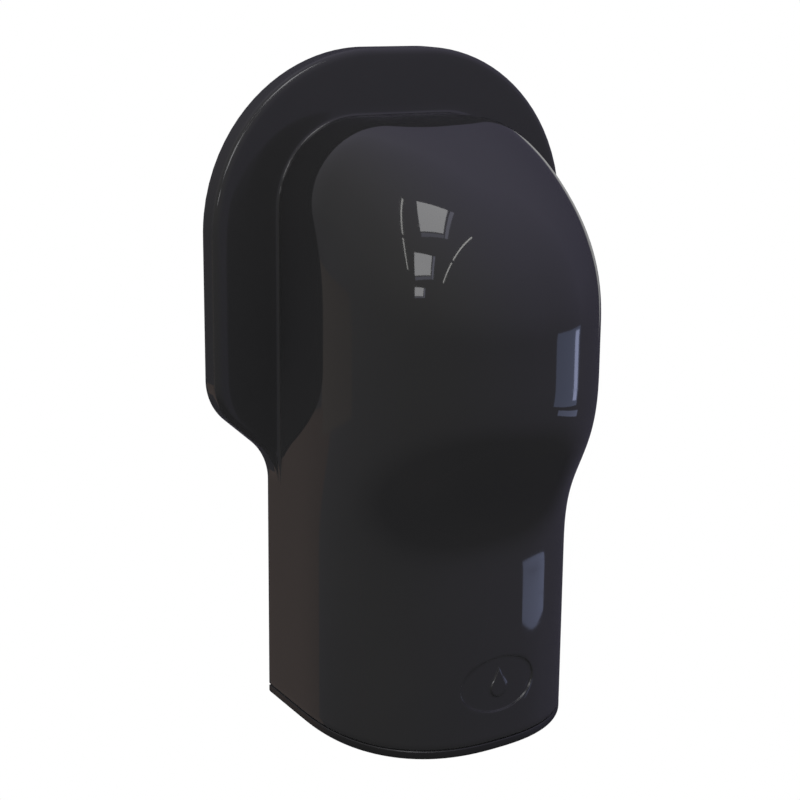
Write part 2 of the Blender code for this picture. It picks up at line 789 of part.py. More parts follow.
def make_palm_button(finish):
    """The cup-shaped pad that a palm pushes up, with a socket for the pump's stem."""
    wall = PALM_WALL
    edge = PALM_EDGE_RADIUS
    hub = PALM_HUB_RADIUS
    socket = STEM_RADIUS + GAP
    seat_top = PALM_LOW + 0.0060
    profile = [(NOZZLE_SEAT_RADIUS, PALM_LOW)]
    steps = 5
    for step in range(steps + 1):
        angle = math.pi / 2 * step / steps
        radius = PALM_RADIUS - edge + edge * math.sin(angle)
        profile.append((radius, PALM_LOW + edge - edge * math.cos(angle)))
    profile += [(PALM_RADIUS, PALM_RIM), (PALM_RADIUS - wall, PALM_RIM)]
    profile += [(PALM_RADIUS - wall, PALM_LOW + edge), (PALM_RADIUS - edge, PALM_LOW + wall)]
    profile += [(hub, PALM_LOW + wall), (hub, PALM_HUB_TOP), (socket, PALM_HUB_TOP)]
    profile += [(socket, STEM_SOCKET_FLOOR), (SOAP_CHANNEL_RADIUS, STEM_SOCKET_FLOOR)]
    profile += [(SOAP_CHANNEL_RADIUS, seat_top), (NOZZLE_SEAT_RADIUS, seat_top)]
    return turned("palm_button", profile, (0.0, PUMP_Y), finish, steps=28)


def make_nozzle(finish):
    """The soft outlet that keeps soap from dripping."""
    low = PALM_LOW - 0.0030
    profile = [
        (0.0007, low),
        (0.0017, low),
        (0.0027, PALM_LOW + 0.0002),
        (0.0029, PALM_LOW + 0.0010),
        (0.0029, PALM_LOW + 0.0056),
        (0.0014, PALM_LOW + 0.0056),
        (0.0014, PALM_LOW + 0.0010),
    ]
    return turned("nozzle_tip", profile, (0.0, PUMP_Y), finish, steps=16)


# ---------------------------------------------------------------- lock


def hexagon(radius):
    """Corners of a nut about the lock's axis."""
    return arc((0.0, LOCK_Y), radius, 0.0, math.tau * 5 / 6, 5)


BARREL_RADIUS = 0.0070
BARREL_FLANGE_RADIUS = 0.0092
BARREL_TOP = 0.0160
CORE_RADIUS = 0.0052
CAM_LOW = 0.0172
CAM_HIGH = 0.0192
CAM_REACH = 0.0115


def make_lock(steel, brass):
    """A key lock in the base plate: the barrel and its nut stay, the core and the cam turn."""
    axis = (0.0, LOCK_Y)
    barrel = [
        (CORE_RADIUS + GAP, -0.0015),
        (BARREL_FLANGE_RADIUS - 0.0004, -0.0015),
        (BARREL_FLANGE_RADIUS, -0.0011),
        (BARREL_FLANGE_RADIUS, -GAP),
        (BARREL_RADIUS, -GAP),
        (BARREL_RADIUS, BARREL_TOP),
        (CORE_RADIUS + GAP, BARREL_TOP),
    ]
    turned("lock_barrel", barrel, axis, steel)
    nut = slab("lock_nut", hexagon(0.0098), BASE_THICKNESS + GAP, 0.0080, steel)
    cut(nut, turned("thread", rod_profile(BARREL_RADIUS + GAP, 0.0, 0.02), axis))
    # core: a key slot below, a square neck for the cam above, a pilot hole for the cam's screw
    core = turned("lock_core", rod_profile(CORE_RADIUS, -0.0012, 0.0168), axis, brass)
    neck = 0.0024
    neck_low = (-neck, LOCK_Y - neck, BARREL_TOP)
    join(core, box("neck", neck_low, (neck, LOCK_Y + neck, CAM_HIGH + 0.0004)))
    cut(core, box("slot", (-0.0032, LOCK_Y - 0.0007, -0.0050), (0.0032, LOCK_Y + 0.0007, 0.0060)))
    cut(core, turned("pilot", rod_profile(0.0015, 0.0100, 0.0300), axis, steps=12))
    # cam: an arm that points to +X when open and swings to the front to lock
    heel, reach, half = 0.0050, CAM_REACH, 0.0036
    arm = [(-heel, -half), (-heel + 0.002, -0.0050), (0.0030, -0.0050)]
    arm += [(reach - 0.002, -half), (reach, -half + 0.002)]
    outline = [(x, LOCK_Y + y) for x, y in arm] + [(x, LOCK_Y - y) for x, y in reversed(arm)]
    cam = slab("lock_cam", outline, CAM_LOW, CAM_HIGH, steel)
    hole = neck + GAP
    cut(cam, box("square", (-hole, LOCK_Y - hole, 0.01), (hole, LOCK_Y + hole, 0.03)))
    profile = [(0.0, 0.0119), (0.0012, 0.0125), (0.0012, 0.0199), (0.0040, 0.0199), (0.0040, 0.0212)]
    profile += [(0.0034, 0.0218), (0.0018, 0.0218), (0.0018, 0.0208), (0.0, 0.0208)]
    screw = turned("cam_screw", profile, axis, steel, steps=16)
    return [core, cam, screw]


# ---------------------------------------------------------------- assembly


def hang(pieces, parent):
    """Parents pieces to an empty without moving them relative to the base plate."""
    offset = parent.location.copy() if parent.parent else Vector((0.0, 0.0, 0.0))
    for piece in pieces:
        piece.parent = parent
        piece.matrix_parent_inverse = Matrix.Translation(-offset)


def main():
    clear_scene()
    black = material("hood_black", (0.011, 0.011, 0.012), 0.08)
    dark = material("plate_black", (0.015, 0.015, 0.016), 0.35)
    grey = material("chassis_grey", (0.32, 0.33, 0.34), 0.45)
    milky = material("bottle_plastic", (0.78, 0.82, 0.84), 0.30)
    white = material("pump_white", (0.80, 0.80, 0.78), 0.35)
    rubber = material("seal_rubber", (0.05, 0.05, 0.05), 0.70)
    silicone = material("nozzle_silicone", (0.62, 0.63, 0.62), 0.50)
    steel = material("steel", (0.62, 0.62, 0.63), 0.25, 1.0)
    brass = material("lock_brass", (0.72, 0.58, 0.32), 0.30, 1.0)

    hood = make_hood(black)
    make_wall_plate(grey)
    make_base_plate(dark)
    make_base_screws(steel)
    make_cradle(grey)
    for side, (x, z) in zip(("left", "right"), CRADLE_SCREWS):
        make_wall_side_screw(f"cradle_screw_{side}", x, z, steel)
    make_clip(steel)
    make_wall_side_screw("clip_screw", *CLIP_SCREW, steel)
    make_bottle(milky)
    make_closure(white)
    make_gasket(rubber)
    make_cylinder(white)
    make_ball("inlet_ball", BALL_RADIUS, BALL_HEIGHT, steel)
    retainer = tube_profile(0.0018, 0.0069, SPRING_TOP + GAP, 0.1027)
    turned("ball_retainer", retainer, (0.0, PUMP_Y), white)
    make_spring(steel)
    make_stem_guide(white)
    moving_pump = make_piston(white, rubber)
    moving_pump.append(make_palm_button(dark))
    moving_pump.append(make_nozzle(silicone))
    moving_lock = make_lock(steel, brass)

    root = empty("dispenser", (0.0, 0.0, -ORIGIN_HEIGHT))
    moving = {
        "hood_slide": ([hood], (0.0, 0.0, 0.0)),
        "palm_slide": (moving_pump, (0.0, PUMP_Y, PALM_LOW)),
        "key_axis": (moving_lock, (0.0, LOCK_Y, 0.0)),
    }
    for name, (pieces, place) in moving.items():
        hang(pieces, empty(name, place, root))
    still = [item for item in bpy.data.objects if item.type == "MESH" and item.parent is None]
    hang(still, root)


main()
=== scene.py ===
"""Looks of the wall mounted soap dispenser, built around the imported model.

Units are metres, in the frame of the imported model: the wall is the plane Y = 0, the hood stands out
along -Y and +Z is up. A height called "h" is measured from the underside of the base plate.
"""

import math

import bmesh
import bpy
from mathutils import Matrix, Vector


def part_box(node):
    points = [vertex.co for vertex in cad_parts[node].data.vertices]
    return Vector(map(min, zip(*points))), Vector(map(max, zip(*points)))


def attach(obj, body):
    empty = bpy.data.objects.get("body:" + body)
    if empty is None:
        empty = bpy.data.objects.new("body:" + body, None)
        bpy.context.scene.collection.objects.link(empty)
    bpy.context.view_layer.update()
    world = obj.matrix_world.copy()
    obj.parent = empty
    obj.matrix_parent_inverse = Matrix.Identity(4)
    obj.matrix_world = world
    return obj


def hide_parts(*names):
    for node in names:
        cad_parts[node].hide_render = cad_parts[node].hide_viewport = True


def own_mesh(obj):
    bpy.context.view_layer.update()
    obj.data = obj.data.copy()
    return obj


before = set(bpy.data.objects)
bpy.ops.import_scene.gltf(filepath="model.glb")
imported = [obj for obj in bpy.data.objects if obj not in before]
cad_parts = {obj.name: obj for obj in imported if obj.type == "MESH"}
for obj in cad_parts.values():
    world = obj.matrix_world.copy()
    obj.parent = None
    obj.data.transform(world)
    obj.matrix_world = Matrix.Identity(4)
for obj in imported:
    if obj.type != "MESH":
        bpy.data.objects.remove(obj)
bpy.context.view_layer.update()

# ---------------------------------------------------------------- driving dimensions

BASE_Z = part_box("base_plate")[0].z  # world height of the base plate's underside
HALF_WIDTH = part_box("base_plate")[1].x
FLANGE_HALF_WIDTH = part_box("housing_shell")[1].x
FLANGE_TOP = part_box("housing_shell")[1].z - BASE_Z
HOOD_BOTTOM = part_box("housing_shell")[0].z - BASE_Z
GAP = 0.0003

# the body of the hood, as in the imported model
CROWN = 0.262
SPRING = 0.183
SIDE_FLAT = 0.031
BASE_DEPTH = 0.0985
FRONT_TAPER = 0.0245
BULGE_DEPTH = 0.0264
BULGE_START = 0.079
BULGE_END = 0.1635
DOME_LEAN = 0.0133
DOME_LEAN_SPAN = 0.05
PLAN_EXPONENT = 2.45
DOME_EXPONENT = 2.3
CORNER_RADIUS = 0.0375
CORNER_SOFTENS = 0.4
ARCH_EXPONENT_WALL = 3.45
ARCH_EXPONENT_FRONT = 2.8
ARCH_EXPONENT_REACH = 0.8
HOOD_WALL = 0.003

# the flange of the hood
FLANGE_TOP_RADIUS = 0.076
FLANGE_DEPTH = 0.0117
FLANGE_EDGE = 0.003
FLANGE_ROOT = 0.0014
FLANGE_LOW_CENTRE = 0.152
FLANGE_LOW_RADIUS = 0.025
FLANGE_LOW_TURN = math.radians(48)

# the oval badge, sunk into the front near its bottom
BADGE_H = 0.03
BADGE_HALF_WIDTH = 0.0185
BADGE_HALF_HEIGHT = 0.0122
BADGE_DEPTH = 0.0008
BADGE_SHOULDER = 0.0007
BADGE_ROOM_X = 0.022
BADGE_ROOM_H = 0.016
BADGE_STEP = 0.001

PUMP_Y = (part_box("palm_button")[0].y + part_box("palm_button")[1].y) / 2
LOCK_Y = (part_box("lock_core")[0].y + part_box("lock_core")[1].y) / 2

SMOOTH_ANGLE = math.radians(38)


# ---------------------------------------------------------------- mesh tools


def shaded(mesh):
    """Smooth shading with hard edges where faces turn sharply."""
    mesh.shade_smooth()
    mesh.set_sharp_from_angle(angle=SMOOTH_ANGLE)


class Sheet:
    """Points and faces of one mesh, gathered piece by piece."""

    def __init__(self):
        self.points = []
        self.faces = []

    def add(self, point):
        self.points.append((point[0], point[1], point[2] + BASE_Z))
        return len(self.points) - 1

    def line(self, points):
        return [self.add(point) for point in points]

    def face(self, corners):
        unique = tuple(dict.fromkeys(corners))
        if len(unique) > 2:
            self.faces.append(unique)

    def strip(self, first, second):
        """Quads between two lines of equal length."""
        for index in range(len(first) - 1):
            self.face((first[index], first[index + 1], second[index + 1], second[index]))

    def wrap(self, rings):
        """Quads between closed rings of equal length."""
        for first, second in zip(rings, rings[1:]):
            self.strip(first + first[:1], second + second[:1])

    def stitch(self, first, second):
        """Triangles between two lines of any length that start and end side by side."""
        a = b = 0
        while a < len(first) - 1 or b < len(second) - 1:
            if b == len(second) - 1 or (a < len(first) - 1 and self.nearer(first, second, a, b)):
                self.face((first[a], first[a + 1], second[b]))
                a += 1
            else:
                self.face((first[a], second[b + 1], second[b]))
                b += 1

    def nearer(self, first, second, a, b):
        """Whether moving on along the first line makes the shorter cross edge."""
        here = Vector(self.points[first[a + 1]]) - Vector(self.points[second[b]])
        there = Vector(self.points[first[a]]) - Vector(self.points[second[b + 1]])
        return here.length <= there.length

    def made(self, name, finish):
        """The object made of this sheet, its faces turned outwards."""
        mesh = bpy.data.meshes.new(name)
        mesh.from_pydata(self.points, [], self.faces)
        work = bmesh.new()
        work.from_mesh(mesh)
        bmesh.ops.recalc_face_normals(work, faces=work.faces)
        work.to_mesh(mesh)
        work.free()
        shaded(mesh)
        return linked(name, mesh, finish)


def linked(name, mesh, finish):
    """A new object in the scene."""
    mesh.materials.append(finish)
    made = bpy.data.objects.new(name, mesh)
    bpy.context.collection.objects.link(made)
    return made


def lofted(name, rings, finish):
    """A closed body through rings of equal length, capped at both ends, from (x, y, h) points."""
    sheet = Sheet()
    lines = [sheet.line(ring) for ring in rings]
    sheet.face(lines[0][::-1])
    sheet.wrap(lines)
    sheet.face(lines[-1])
    return sheet.made(name, finish)


def turned(name, profile, centre, finish, steps=96):
    """A body turned about a vertical axis from a closed profile of (radius, h) points."""
    sheet = Sheet()
    rings = []
    for radius, h in profile:
        if radius == 0.0:
            rings.append([sheet.add((*centre, h))] * steps)
            continue
        rings.append([])
        for step in range(steps):
            angle = math.tau * step / steps
            x = centre[0] + radius * math.cos(angle)
            y = centre[1] + radius * math.sin(angle)
            rings[-1].append(sheet.add((x, y, h)))
    sheet.wrap(rings + rings[:1])
    return sheet.made(name, finish)


def cylinder(radius, low, high, centre, steps=96):
    """A plain round cutter."""
    return turned("cutter", [(0.0, low), (radius, low), (radius, high), (0.0, high)], centre, None, steps)


def slab(name, outline, low, high, finish, edge=0.0, steps=3):
    """An outline of (x, y) points raised from low to high, its edges rounded where it is convex."""
    rings = []
    for sine, cosine in quarter(steps, 0 if edge else steps):
        rings.append((edge * (1 - sine), low + edge * (1 - cosine)))
    rings += [(inset, high + low - h) for inset, h in reversed(rings)]
    return lofted(name, [[(x, y, h) for x, y in shrunk(outline, inset)] for inset, h in rings], finish)


def shrunk(outline, inset):
    """The outline moved inwards by inset, corner by corner."""
    if inset == 0.0:
        return outline
    ahead = outline[1:] + outline[:1]
    area = sum(x * next_y - next_x * y for (x, y), (next_x, next_y) in zip(outline, ahead))
    turn = 1.0 if area > 0 else -1.0
    moved = []
    for index, here in enumerate(outline):
        middle = Vector((0.0, 0.0))
        for edge in (Vector(here) - Vector(outline[index - 1]), Vector(ahead[index]) - Vector(here)):
            edge.normalize()
            middle += Vector((-edge.y, edge.x)) * turn
        middle /= max(middle.length_squared / 2, 0.5)
        moved.append((here[0] + middle.x * inset, here[1] + middle.y * inset))
    return moved


def prism(name, outline, front, back, finish, edge=0.0):
    """An outline of (x, h) points pushed along Y from front to back."""
    made = slab(name, outline, 0.0, back - front, finish, edge)
    swing = Matrix(((1, 0, 0, 0), (0, 0, 1, front - BASE_Z), (0, 1, 0, BASE_Z), (0, 0, 0, 1)))
    made.data.transform(swing)
    made.data.flip_normals()
    return made


def block(name, low, high, finish, edge=0.0):
    outline = [(low[0], low[1]), (high[0], low[1]), (high[0], high[1]), (low[0], high[1])]
    return slab(name, outline, low[2], high[2], finish, edge)


def welded(mesh, distance=2e-6):
    """Joins corners that a Boolean left almost together, and drops faces without area."""
    work = bmesh.new()
    work.from_mesh(mesh)
    bmesh.ops.remove_doubles(work, verts=work.verts, dist=distance)
    bmesh.ops.dissolve_degenerate(work, dist=distance, edges=work.edges)
    work.to_mesh(mesh)
    work.free()


def combine(target, other, operation):
    """Applies one Boolean to the target's mesh and removes the other object."""
    change = target.modifiers.new("combine", "BOOLEAN")
    change.operation = operation
    change.solver = "EXACT"
    change.object = other
    graph = bpy.context.evaluated_depsgraph_get()
    result = bpy.data.meshes.new_from_object(target.evaluated_get(graph))
    target.modifiers.remove(change)
    target.data = result
    bpy.data.objects.remove(other, do_unlink=True)
    welded(result)
    shaded(result)
    return target


def cut(target, *others):
    for other in others:
        combine(target, other, "DIFFERENCE")
    return target


def join(target, *others):
    for other in others:
        combine(target, other, "UNION")
    return target


def arc(centre, radius, start, end, steps):
    points = []
    for step in range(steps + 1):
        angle = start + (end - start) * step / steps
        points.append((centre[0] + radius * math.cos(angle), centre[1] + radius * math.sin(angle)))
    return points


def quarter(steps, first=0):
    """Sine and cosine over a quarter turn in even steps."""
    angles = [math.pi / 2 * step / steps for step in range(first, steps + 1)]
    return [(math.sin(angle), math.cos(angle)) for angle in angles]


def symmetric(left, middle=()):
    """An outline from its left half and what lies between the halves."""
    return left + list(middle) + [(-x, y) for x, y in reversed(left)]


def spread(start, end, steps):
    """Evenly spaced values after start, up to end."""
    return [start + (end - start) * step / steps for step in range(1, steps + 1)]


def placed(piece, body, finish_slot, *nodes):
    """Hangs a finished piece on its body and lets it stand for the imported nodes."""
    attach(piece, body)
    if nodes:
        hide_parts(*nodes)
    return piece


# ---------------------------------------------------------------- shape of the hood's body


def smooth_step(value):
    value = min(max(value, 0.0), 1.0)
    return value**2 / (value**2 + (1.0 - value) ** 2)


def front_depth(h):
    """Distance from the wall to the front of the body."""
    bulge = BULGE_DEPTH * smooth_step((h - BULGE_START) / (BULGE_END - BULGE_START))
    lean = DOME_LEAN * (max(h - SPRING, 0.0) / DOME_LEAN_SPAN) ** 2
    return BASE_DEPTH - FRONT_TAPER * h + bulge - lean


def remaining(share, exponent):
    """The other semi-axis of a superellipse, where one has reached share."""
    return max(1.0 - share**exponent, 0.0) ** (1.0 / exponent)


def rounded_reach(angle):
    """Reach of an arch with round corners, from the middle of its spring line, in half axes."""
    across, up = math.cos(angle), math.sin(angle)
    wide = CORNER_RADIUS / HALF_WIDTH
    high = CORNER_RADIUS / (CROWN - SPRING)
    if across * (1.0 - high) >= up:
        return 1.0 / across
    if up * (1.0 - wide) >= across:
        return 1.0 / up
    square = (across / wide) ** 2 + (up / high) ** 2
    half = across * (1.0 - wide) / wide**2 + up * (1.0 - high) / high**2
    rest = ((1.0 - wide) / wide) ** 2 + ((1.0 - high) / high) ** 2 - 1.0
    return (half + math.sqrt(half**2 - square * rest)) / square


def arch_reach(angle, share):
    """Reach of the body's arch, which softens from the wall towards the nose."""
    change = (ARCH_EXPONENT_FRONT - ARCH_EXPONENT_WALL) * smooth_step(share / ARCH_EXPONENT_REACH)
    exponent = ARCH_EXPONENT_WALL + change
    soft = (math.cos(angle) ** exponent + math.sin(angle) ** exponent) ** (-1.0 / exponent)
    blend = smooth_step(share / CORNER_SOFTENS)
    return soft * blend + rounded_reach(angle) * (1.0 - blend)


def depth_y(h, share, inset=0.0):
    return -SIDE_FLAT - (front_depth(h) - inset - SIDE_FLAT) * share


def leg_point(h, share, inset=0.0):
    """A point of the body's left half below the spring line."""
    return Vector((-(HALF_WIDTH - inset) * remaining(share, PLAN_EXPONENT), depth_y(h, share, inset), h))


def arch_point(angle, share, inset=0.0):
    """A point of the body's left half above the spring line."""
    reach = arch_reach(angle, share)
    width = (HALF_WIDTH - inset) * remaining(share, PLAN_EXPONENT)
    rise = (CROWN - inset - SPRING) * remaining(share, DOME_EXPONENT)
    h = SPRING + rise * reach * math.sin(angle)
    return Vector((-width * reach * math.cos(angle), depth_y(h, share, inset), h))


def flange_outline():
    """The left half of the flange's outline, from where it leaves the body to its crown."""
    low = FLANGE_LOW_RADIUS
    turn = FLANGE_LOW_TURN
    convex = (-FLANGE_HALF_WIDTH + low, FLANGE_LOW_CENTRE)
    top = (-FLANGE_HALF_WIDTH + FLANGE_TOP_RADIUS, FLANGE_TOP - FLANGE_TOP_RADIUS)
    concave_x = -HALF_WIDTH - low
    run = (concave_x - convex[0]) + 2 * low * math.cos(turn)
    drop = 2 * low * math.sin(turn) + run / math.tan(turn)
    concave = (concave_x, convex[1] - drop)
    outline = arc(concave, low, 0.0, turn, 60)
    outline += arc(convex, low, math.pi + turn, math.pi, 60)
    outline += arc(top, FLANGE_TOP_RADIUS, math.pi, math.pi / 2, 180)
    return outline + [(0.0, FLANGE_TOP)]


def flange_reach(point, outwards, outline):
    """How far the flange runs from a point of the body's outline, and the cosine it ends at."""
    for (ax, ah), (bx, bh) in zip(outline, outline[1:]):
        along = Vector((bx - ax, bh - ah))
        across = outwards.x * along.y - outwards.y * along.x
        if abs(across) < 1e-12:
            continue
        away = Vector((ax, ah)) - point
        reach = (away.x * along.y - away.y * along.x) / across
        share = (away.x * outwards.y - away.y * outwards.x) / across
        if reach >= 0.0 and -1e-9 <= share <= 1.0 + 1e-9:
            return reach, abs(across) / along.length
    return 0.0, 1.0


def flange_profile(width, slant):
    """Section from the root fillet over the flange's face and rim to the inner side of its tray.

    Gives (out, y) pairs for the outer and the inner skin, out being measured from the body's side.
    As the flange runs out into the side, its points close up on a straight line but stay apart
    along Y.
    """
    near = 1.0 - min(width / 0.006, 1.0)
    face = -FLANGE_DEPTH
    tilt = near * 0.0009
    root = min(FLANGE_ROOT, 0.4 * width)
    edge = min(FLANGE_EDGE / max(slant, 0.5), 0.6 * width)
    outer = []
    for sine, cosine in quarter(6, 1):
        outer.append((root * (1 - cosine), face - FLANGE_ROOT + (FLANGE_ROOT - tilt) * sine))
    for share in spread(0.0, 1.0, 8):
        outer.append((root + (width - edge - root) * share, face - tilt + 2 * tilt * share))
    for sine, cosine in quarter(7, 1):
        outer.append((width - edge + edge * sine, face + FLANGE_EDGE - (FLANGE_EDGE - tilt) * cosine))
    back = 0.0005
    outer += [(width, y) for y in spread(face + FLANGE_EDGE, -back, 4)]
    outer += [(width - back * (1 - cosine), -back * (1 - sine)) for sine, cosine in quarter(3, 1)]
    floor = face + HOOD_WALL
    sag = near * 0.0015
    inner = [(width - HOOD_WALL + back, 0.0)]
    inner += [(width - HOOD_WALL, y) for y in [-back] + spread(-back, floor + sag, 3)]
    for share in spread(0.0, 1.0, 6):
        inner.append((-HOOD_WALL + width * (1 - share), floor + sag - 2 * sag * share))
    return outer, inner


def drop_reach(angle):
    """Outline of the water drop on the badge, as a distance from the badge's middle."""
    radius, low, tip = 0.0039, 0.0018, 0.0072
    turn = math.asin(radius / (tip + low))
    across, up = abs(math.cos(angle)), math.sin(angle)
    straight = tip * math.sin(turn) / (across * math.cos(turn) + up * math.sin(turn) + 1e-9)
    if up > 0 or straight > 0:
        down = straight * across / math.sin(turn)
        if 0 <= down <= (tip + low) * math.cos(turn):
            return straight
    return -low * up + math.sqrt(radius**2 - (low * across) ** 2)


def oval_reach(angle):
    return 1.0 / math.hypot(math.cos(angle) / BADGE_HALF_WIDTH, math.sin(angle) / BADGE_HALF_HEIGHT)


def outer_shares():
    """Depth shares of the columns from the nose to the flat side."""
    shares = []
    for x in [0.0] + spread(0.0, BADGE_ROOM_X, round(BADGE_ROOM_X / BADGE_STEP)):
        shares.append(remaining(x / HALF_WIDTH, PLAN_EXPONENT))
    start = math.acos((BADGE_ROOM_X / HALF_WIDTH) ** (PLAN_EXPONENT / 2))
    for angle in spread(start, 0.0, 30):
        shares.append(math.sin(max(angle, 0.0)) ** (2 / PLAN_EXPONENT))
    shares[0] = 1.0
    shares[-1] = 0.0
    return shares


def inner_shares():
    """Depth shares of the inner skin's columns after the flat side, up to the nose."""
    return [sine ** (2 / PLAN_EXPONENT) for sine, _ in quarter(20, 1)[:-1]] + [1.0]


def leg_rows():
    """Heights of the rows below the spring line, with the inset of the rounded lower lip."""
    lip = 0.0006
    rows = [(HOOD_BOTTOM + lip * (1 - cosine), lip * (1 - sine)) for sine, cosine in quarter(4)[:-1]]
    rows.append((HOOD_BOTTOM + lip, 0.0))
    low, high = BADGE_H - BADGE_ROOM_H, BADGE_H + BADGE_ROOM_H
    spans = [(HOOD_BOTTOM + lip, low, 4), (low, high, round(2 * BADGE_ROOM_H / BADGE_STEP))]
    spans += [(high, 0.1, 26), (0.1, 0.156, 46), (0.156, SPRING, 11)]
    for start, end, steps in spans:
        rows += [(h, 0.0) for h in spread(start, end, steps)]
    return rows


ARCH_STEPS = 40


def outline_frames(rows):
    """For every row of the left half: its point on the body's outline at the wall, and the way out."""
    frames = [(Vector((-HALF_WIDTH, h)), Vector((-1.0, 0.0))) for h, _ in rows]
    small = 1e-4
    for step in range(1, ARCH_STEPS + 1):
        angle = math.pi / 2 * step / ARCH_STEPS
        here = arch_point(angle, 0.0)
        after = arch_point(min(angle + small, math.pi / 2), 0.0)
        before = arch_point(max(angle - small, 0.0), 0.0)
        along = Vector((after.x - before.x, after.z - before.z)).normalized()
        frames.append((Vector((here.x, here.z)), Vector((-along.y, along.x))))
    frames[-1] = (Vector((0.0, CROWN)), Vector((0.0, 1.0)))
    return frames


def hood_row(row, rows, frames, outline):
    """One row of the left half: its outer points from the nose to the wall, its inner ones back."""
    is_leg = row < len(rows)
    h, lip = rows[row] if is_leg else (0.0, 0.0)
    angle = math.pi / 2 * (row - len(rows) + 1) / ARCH_STEPS

    def skin(share, inset):
        return leg_point(h, share, inset) if is_leg else arch_point(angle, share, inset)

    base, outwards = frames[row]
    width, slant = flange_reach(base, outwards, outline)
    if is_leg and h <= outline[0][1]:
        width, slant = 0.0, 1.0
    points = [skin(share, lip) for share in outer_shares()]
    for y in spread(-SIDE_FLAT, -FLANGE_DEPTH - FLANGE_ROOT, 6):
        points.append(Vector((points[-1].x, y, points[-1].z)))
    outer, inner = flange_profile(width, slant)
    inside = []
    for line, section, inset in ((points, outer, lip), (inside, inner, 0.0)):
        for out, y in section:
            place = base + outwards * (out - inset)
            line.append(Vector((place.x, y, place.y)))
    tray_end, first_inside = inside[-1], skin(0.0, HOOD_WALL)
    inside += [tray_end.lerp(first_inside, share) for share in spread(0.0, 1.0, 4)]
    inside += [skin(share, HOOD_WALL) for share in inner_shares()]
    return points, inside


def badge_patch(sheet, border):
    """Fills the room left for the badge, from its border inwards, given as indices all the way round."""
    half = BADGE_SHOULDER / 2
    field = BADGE_DEPTH * 0.1
    sunk = (0.0, 0.0, BADGE_DEPTH, BADGE_DEPTH, field, field)
    places = [(sheet.points[index][0], sheet.points[index][2] - BASE_Z) for index in border]
    rings = [border]
    bands = enumerate((5, 6, 7, 5, 6))
    for band, share in [(band, share) for band, steps in bands for share in spread(0.0, 1.0, steps)][:-1]:
        ring = []
        for x, h in places:
            angle = math.atan2(h - BADGE_H, x)
            oval, drop = oval_reach(angle), drop_reach(angle)
            full = math.hypot(x, h - BADGE_H)
            reaches = (full, oval + half, oval - half, drop + half, drop - half, 0.0)
            reach = reaches[band] + (reaches[band + 1] - reaches[band]) * share
            px, ph = reach * math.cos(angle), BADGE_H + reach * math.sin(angle)
            y = depth_y(ph, remaining(abs(px) / HALF_WIDTH, PLAN_EXPONENT))
            ring.append((px, y + sunk[band] + (sunk[band + 1] - sunk[band]) * smooth_step(share), ph))
        rings.append(sheet.line(ring))
    middle = sheet.add((0.0, depth_y(BADGE_H, 1.0) + field, BADGE_H))
    sheet.wrap(rings + [[middle] * len(border)])


def make_hood(finish):
    """The whole hood as one closed skin: body, flange, tray and inner side."""
    rows = leg_rows()
    frames = outline_frames(rows)
    outline = flange_outline()
    sheet = Sheet()
    half = [hood_row(row, rows, frames, outline) for row in range(len(frames))]
    noses = [(sheet.add(outer[0]), sheet.add(inner[-1])) for outer, inner in half[:len(rows)]]
    lines = []
    for side, order in ((1, range(len(half))), (-1, range(len(half) - 2, -1, -1))):
        for row in order:
            body = [(side * x, y, h) for x, y, h in (half[row][0] + half[row][1])[1:-1]]
            outer_nose, inner_nose = noses[min(row, len(rows) - 1)]
            lines.append([outer_nose] + sheet.line(body) + [inner_nose])
    columns = round(BADGE_ROOM_X / BADGE_STEP)
    beside = [row for row, (h, _) in enumerate(rows) if abs(h - BADGE_H) <= BADGE_ROOM_H + 1e-6]
    low, high = beside[0], beside[-1]
    for index in range(len(lines) - 1):
        skips = low <= index < high or low <= len(lines) - 2 - index < high
        start = columns if skips else 0
        sheet.strip(lines[index][start:], lines[index + 1][start:])
    left = lines[low:high + 1]
    right = lines[::-1][low:high + 1]
    border = right[0][:columns] + [line[columns] for line in right]
    border += right[-1][:columns][::-1] + left[-1][1:columns]
    border += [line[columns] for line in reversed(left)] + left[0][1:columns][::-1]
    badge_patch(sheet, border)
    # the lower lip joins the outer skin to the inner one
    count = len(half[0][0])
    for line in (lines[0], lines[-1]):
        sheet.stitch(line[:count], line[count:][::-1])
    return sheet.made("hood", finish)


def make_hook_bar(finish):
    """The bar that hangs on the wall plate's hook."""
    top = FLANGE_TOP - HOOD_WALL / 2
    return block("hood_hook_bar", (-0.012, -0.0059, 0.2624), (0.012, -0.0036, top), finish, 0.0005)


def make_cam_ledge(finish):
    """The ledge that the lock's cam holds."""
    front = -front_depth(0.0145) + HOOD_WALL / 2
    return block("hood_cam_ledge", (-0.012, front, 0.0125), (0.012, -0.089, 0.0163), finish, 0.0005)


# ---------------------------------------------------------------- base plate, pad and lock


BASE_THICKNESS = 0.004
BASE_EDGE = 0.0014
BASE_BACK = -0.0001
BASE_REAR_CORNER = 0.0003
PALM_HOLE = 0.021
LOCK_HOLE = 0.0073
BASE_SCREWS = ((-0.04, -0.014), (0.04, -0.014))


def base_outline(inset, h, back, corner, steps=72):
    """Plan of the body, from the left rear corner round the front to the right rear corner."""
    half = HALF_WIDTH - inset
    depth = front_depth(h) - inset
    left = []
    if corner:
        left = arc((-half + corner, back - corner), corner, math.pi / 2, math.pi, 6)[:-1]
    left.append((-half, back - corner))
    front = []
    for step in range(steps + 1):
        angle = math.pi * step / steps
        across = math.copysign(abs(math.cos(angle)) ** (2 / PLAN_EXPONENT), math.cos(angle))
        along = math.sin(angle) ** (2 / PLAN_EXPONENT)
        front.append((-half * across, -SIDE_FLAT - (depth - SIDE_FLAT) * along))
    return left + front + [(-x, y) for x, y in reversed(left)]


